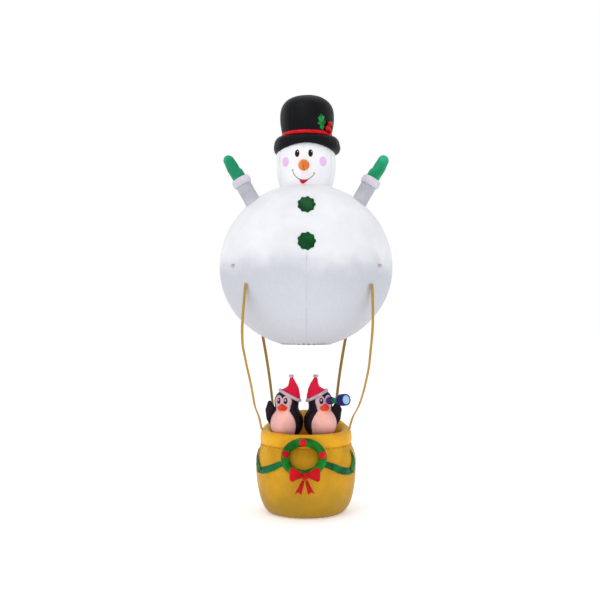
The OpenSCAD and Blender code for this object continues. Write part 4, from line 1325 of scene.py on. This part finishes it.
def make_santa_hat(name, x, side):
    """side is the way the hat leans: towards the other penguin."""
    plane = (Matrix.Translation((x, -0.100, 0.968)) @ Matrix.Rotation(radians(side * HAT_TILT), 4, "Y")
             @ Matrix.Translation((0, 0, 0.0618)))
    base = plane @ V((0, 0, 0.004))
    tip = V((x + side * 0.042, -0.100, 1.177))
    bend = [V((x + side * 0.042, -0.100, 1.060)), V((x + side * 0.054, -0.100, 1.104))]
    spine = smooth_line([base, *bend, tip], 12)
    radii = [float(np.interp(k / (len(spine) - 1), [0, 0.12, 0.33, 0.55, 0.78, 0.95, 1.0],
                             [0.0935, 0.090, 0.075, 0.056, 0.034, 0.016, 0.012])) for k in range(len(spine))]
    rows, sideways = [], V((0, 1, 0))
    for i, p in enumerate(spine):
        t = i / (len(spine) - 1)
        level = (plane.to_3x3() @ V((0, 0, 1))).lerp(V((side * 0.05, 0, 1)), min(1.0, t * 1.4))
        v = level.normalized().cross(sideways).normalized()
        rows.append([p + (sideways * cos(b) + v * sin(b)) * radii[i] for b in turns(96)])
    hat = grid_piece(f"penguin_{name}_hat", rows, caps=True)

    def folds_at(co, normals):
        up = np.clip((co[:, 2] - base.z) / (tip.z - base.z), 0, 1)
        turn = np.arctan2(co[:, 1] + 0.100, co[:, 0] - x)
        h = 0.003 * np.exp(-up / 0.12) * np.cos(turn * 20)
        h -= 0.0022 * near(np.abs(turn), pi / 2, 0.045)
        h -= 0.0018 * near(up, 0.52, 0.03) * (side * (co[:, 0] - x) > 0)
        return h + 0.002 * lumps(co, 0.05) + 0.001 * lumps(co, 0.02)
    displace(hat, folds_at)
    finish_piece(hat, "santa", "basket", "santa_red")
    rows = []
    for a in turns(160):
        row = []
        for b in turns(24):
            tuft = 1 + 0.06 * noise.noise(V((cos(a) * 9, sin(a) * 9, b * 2)))
            r = 0.0125 * tuft
            reach = 0.0985 + r * cos(b)
            row.append(plane @ V((*polar(reach, a), r * 1.05 * sin(b))))
        rows.append(row)
    trim = grid_piece(f"penguin_{name}_trim", rows, loop=True)
    finish_piece(trim, "trim", "basket", "trim_fabric")
    middle = V((x + side * 0.040, -0.100, 1.190))
    pom = puffed_ball(f"penguin_{name}_pompom", middle, 0.0245, (0, -0.3, 1), 12)
    pom.data.transform(Matrix.Translation((0, 0, 1.190)) @ Matrix.Diagonal((1, 1, 0.62, 1))
                       @ Matrix.Translation((0, 0, -1.190)))
    displace(pom, lambda co, n: 0.0008 * lumps(co, 0.006))
    finish_piece(pom, "trim", "basket", "trim_fabric")
    return hat, trim


# ---- Telescope ----

def make_telescope():
    start = V((0.196, -0.196, 0.984))
    way = V((0.143, -0.170, 0.023)).normalized()
    across = way.orthogonal().normalized()
    other = way.cross(across)

    def turned(name, line, material, slot, node, seams=()):
        fine = smooth_line([V((r, 0, d)) for r, d in line], 4)
        rows = []
        for q in fine:
            pinch = sum(exp(-((q.z - s) / 0.004) ** 2) for s in seams)
            rows.append([start + way * q.z + (across * cos(b) + other * sin(b)) * max(
                0.0004, q.x * (1 + 0.022 * pinch * cos(16 * b)) - 0.002 * pinch) for b in turns(80)])
        piece = grid_piece(name, rows, caps=True)
        displace(piece, lambda co, n: 0.0009 * lumps(co, 0.03) + 0.0005 * lumps(co, 0.012))
        finish_piece(piece, material, "basket", slot, [node])
    eyepiece = [(.0005, -.010), (.020, -.009), (.030, -.004), (.0335, .004), (.034, .020), (.0335, .036),
                (.030, .0412), (.018, .0418), (.0005, .0418)]
    middle = [(.0005, .0425), (.018, .0430), (.0225, .046), (.0235, .060), (.0245, .090), (.026, .120),
              (.0268, .135), (.022, .1398), (.0005, .1402)]
    objective = [(.0005, .1415), (.030, .1418), (.045, .144), (.0495, .150), (.0505, .180), (.0500, .212),
                 (.0485, .2195), (.0445, .2208), (.0405, .2185), (.0400, .2085), (.0395, .2075),
                 (.0005, .2070)]
    lens = [(.0005, .2074), (.038, .2076), (.0392, .211), (.0385, .2165), (.034, .2195), (.022, .2215),
            (.010, .2222), (.0005, .2224)]
    turned("eyepiece_tube", eyepiece, "purple", "purple_fabric", "telescope_eyepiece", (0.004, 0.037))
    turned("scope_tube", middle, "scope", "scope_green", "telescope_tube", (0.047, 0.134))
    turned("objective_tube", objective, "navy", "navy_fabric", "telescope_objective", (0.150, 0.213))
    turned("lens_disc", lens, "lens", "lens_blue", "telescope_lens")


# ---- Air column, zipper and ballast ----

def make_air_column():
    middle = V((0, 0.112, 0))
    rows = [[middle + around(0.0965 + 0.0012 * cos(radians(9 * j) * 7 + z * 12), 3 * j, z) for j in range(120)]
            for z in steps(0.5635, 1.4650, 60)]
    column = grid_piece("clear_air_column", rows)
    column.data.materials.append(M["vinyl"])
    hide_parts("air_column")
    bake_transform(column)


def make_zipper():
    """Two tapes with interlocking teeth on the back of the basket."""
    cells_v, cells_f = [], []

    def block(centre, along, out, size):
        n = len(cells_v)
        a, b, c = along * size[0], out * size[1], V((0, 0, size[2]))
        cells_v.extend(centre + a * i / 2 + b * j / 2 + c * k / 2
                       for i in (-1, 1) for j in (-1, 1) for k in (-1, 1))
        cells_f.extend([tuple(n + q for q in face) for face in
                        ((0, 1, 3, 2), (4, 6, 7, 5), (0, 4, 5, 1), (2, 3, 7, 6), (0, 2, 6, 4), (1, 5, 7, 3))])
    first, last = -161, -109
    for k in range(132):
        az = first + (last - first) * k / 131
        out = around(1, az, 0)
        block(around(0.4390, az, 0.4 + (0.0014 if k % 2 else -0.0014)), V((-out.y, out.x, 0)), out,
              (0.0017, 0.0016, 0.0042))
    teeth = mesh_piece("zipper_teeth", cells_v, cells_f)
    teeth.data.shade_flat()
    finish_piece(teeth, "steel", "basket", "steel")
    path = [around(0.4381, az, 0.4) for az in np.linspace(-162, -108, 60)]
    tape = band("zipper_tapes", path, [0.026] * 60, outward, 0.0010, 9)
    finish_piece(tape, "gold_line", "basket", "zipper_fabric", ["zipper_tape"])


def make_ballast():
    bag = blob("sand_ballast", [[((0.085 * cos(a), -0.060 + 0.085 * sin(a), 0.027), 0.021)
                                 for a in [radians(30 * k) for k in range(12)]]
                                + [((0, -0.060, 0.030), 0.021)]], 0.006, 4)
    displace(bag, lambda co, n: 0.002 * lumps(co, 0.04) + 0.001 * lumps(co, 0.015))
    finish_piece(bag, "sand", "basket", "sand_bag", ["ballast_bag"])


# ---- Carried-over hard parts ----

def paint_hard_parts():
    for node, material in (("basket_base", "inner"), ("stake_tabs", "gold"), ("stake_grommets", "steel"),
                           ("blower_housing", "white_plastic"), ("blower_motor", "dark_plastic"),
                           ("blower_grille", "white_plastic"), ("cord_gland", "dark_plastic"),
                           ("blower_impeller", "dark_plastic"), ("lock_ring", "dark_plastic"),
                           ("zipper_slider", "steel"), ("zipper_pull", "steel"), ("lower_lamps", "lamp"),
                           ("upper_lamp", "lamp"), ("tether_tabs", "pink_tab")):
        paint(node, material)
    for corner in STRAPS:
        paint(f"tether_ring_{corner}", "steel")


# ---- Studio ----

def make_studio():
    floor = placed("floor", bpy.data.meshes.new("floor"))
    floor.data.from_pydata([(-90, -90, -0.001), (90, -90, -0.001), (90, 90, -0.001), (-90, 90, -0.001)], [],
                           [(0, 1, 2, 3)])
    paper = Shader("floor_paper", 0.9)
    paper.colour(paper.ramp(paper.cloud(0.5), [(0.3, srgb("fbfbfb")), (0.7, srgb("ffffff"))]))
    paper.bsdf.inputs["Emission Color"].default_value = (1, 1, 1, 1)
    paper.bsdf.inputs["Emission Strength"].default_value = 0.30
    floor.data.materials.append(paper.material)

    world = bpy.data.worlds.new("studio")
    scene.world = world
    world.use_nodes = True
    nodes, links = world.node_tree.nodes, world.node_tree.links
    where = nodes.new("ShaderNodeTexCoord")
    parts = nodes.new("ShaderNodeSeparateXYZ")
    links.new(where.outputs["Generated"], parts.inputs["Vector"])
    ramp = nodes.new("ShaderNodeValToRGB")
    ramp.color_ramp.elements[0].position = 0.38
    ramp.color_ramp.elements[0].color = (1.0, 1.0, 1.0, 1)
    ramp.color_ramp.elements[1].position = 0.62
    ramp.color_ramp.elements[1].color = (0.70, 0.71, 0.74, 1)
    links.new(parts.outputs["Z"], ramp.inputs["Fac"])
    links.new(ramp.outputs["Color"], nodes["Background"].inputs["Color"])
    nodes["Background"].inputs["Strength"].default_value = 1.0

    for name, at, size, power in (("key", (-1.6, -4.2, 7.5), 4.0, 85), ("top", (0.5, 0.5, 7.0), 3.5, 30)):
        light = bpy.data.lights.new(name, "AREA")
        light.size = size
        light.energy = power
        lamp = placed(name, light)
        lamp.location = at
        lamp.rotation_euler = (V((0, 0, 2.0)) - V(at)).to_track_quat("-Z", "Y").to_euler()
    scene.view_settings.view_transform = "Standard"


for make in (make_balloon, make_head, make_face, make_nose, make_hat, make_holly, make_buttons, make_arms,
             make_basket, make_ribbons, make_wreath, make_bow):
    make()
for which in PENGUINS:
    make_penguin(which)
for make in (make_telescope, make_air_column, make_zipper, make_ballast, paint_hard_parts, make_studio):
    make()
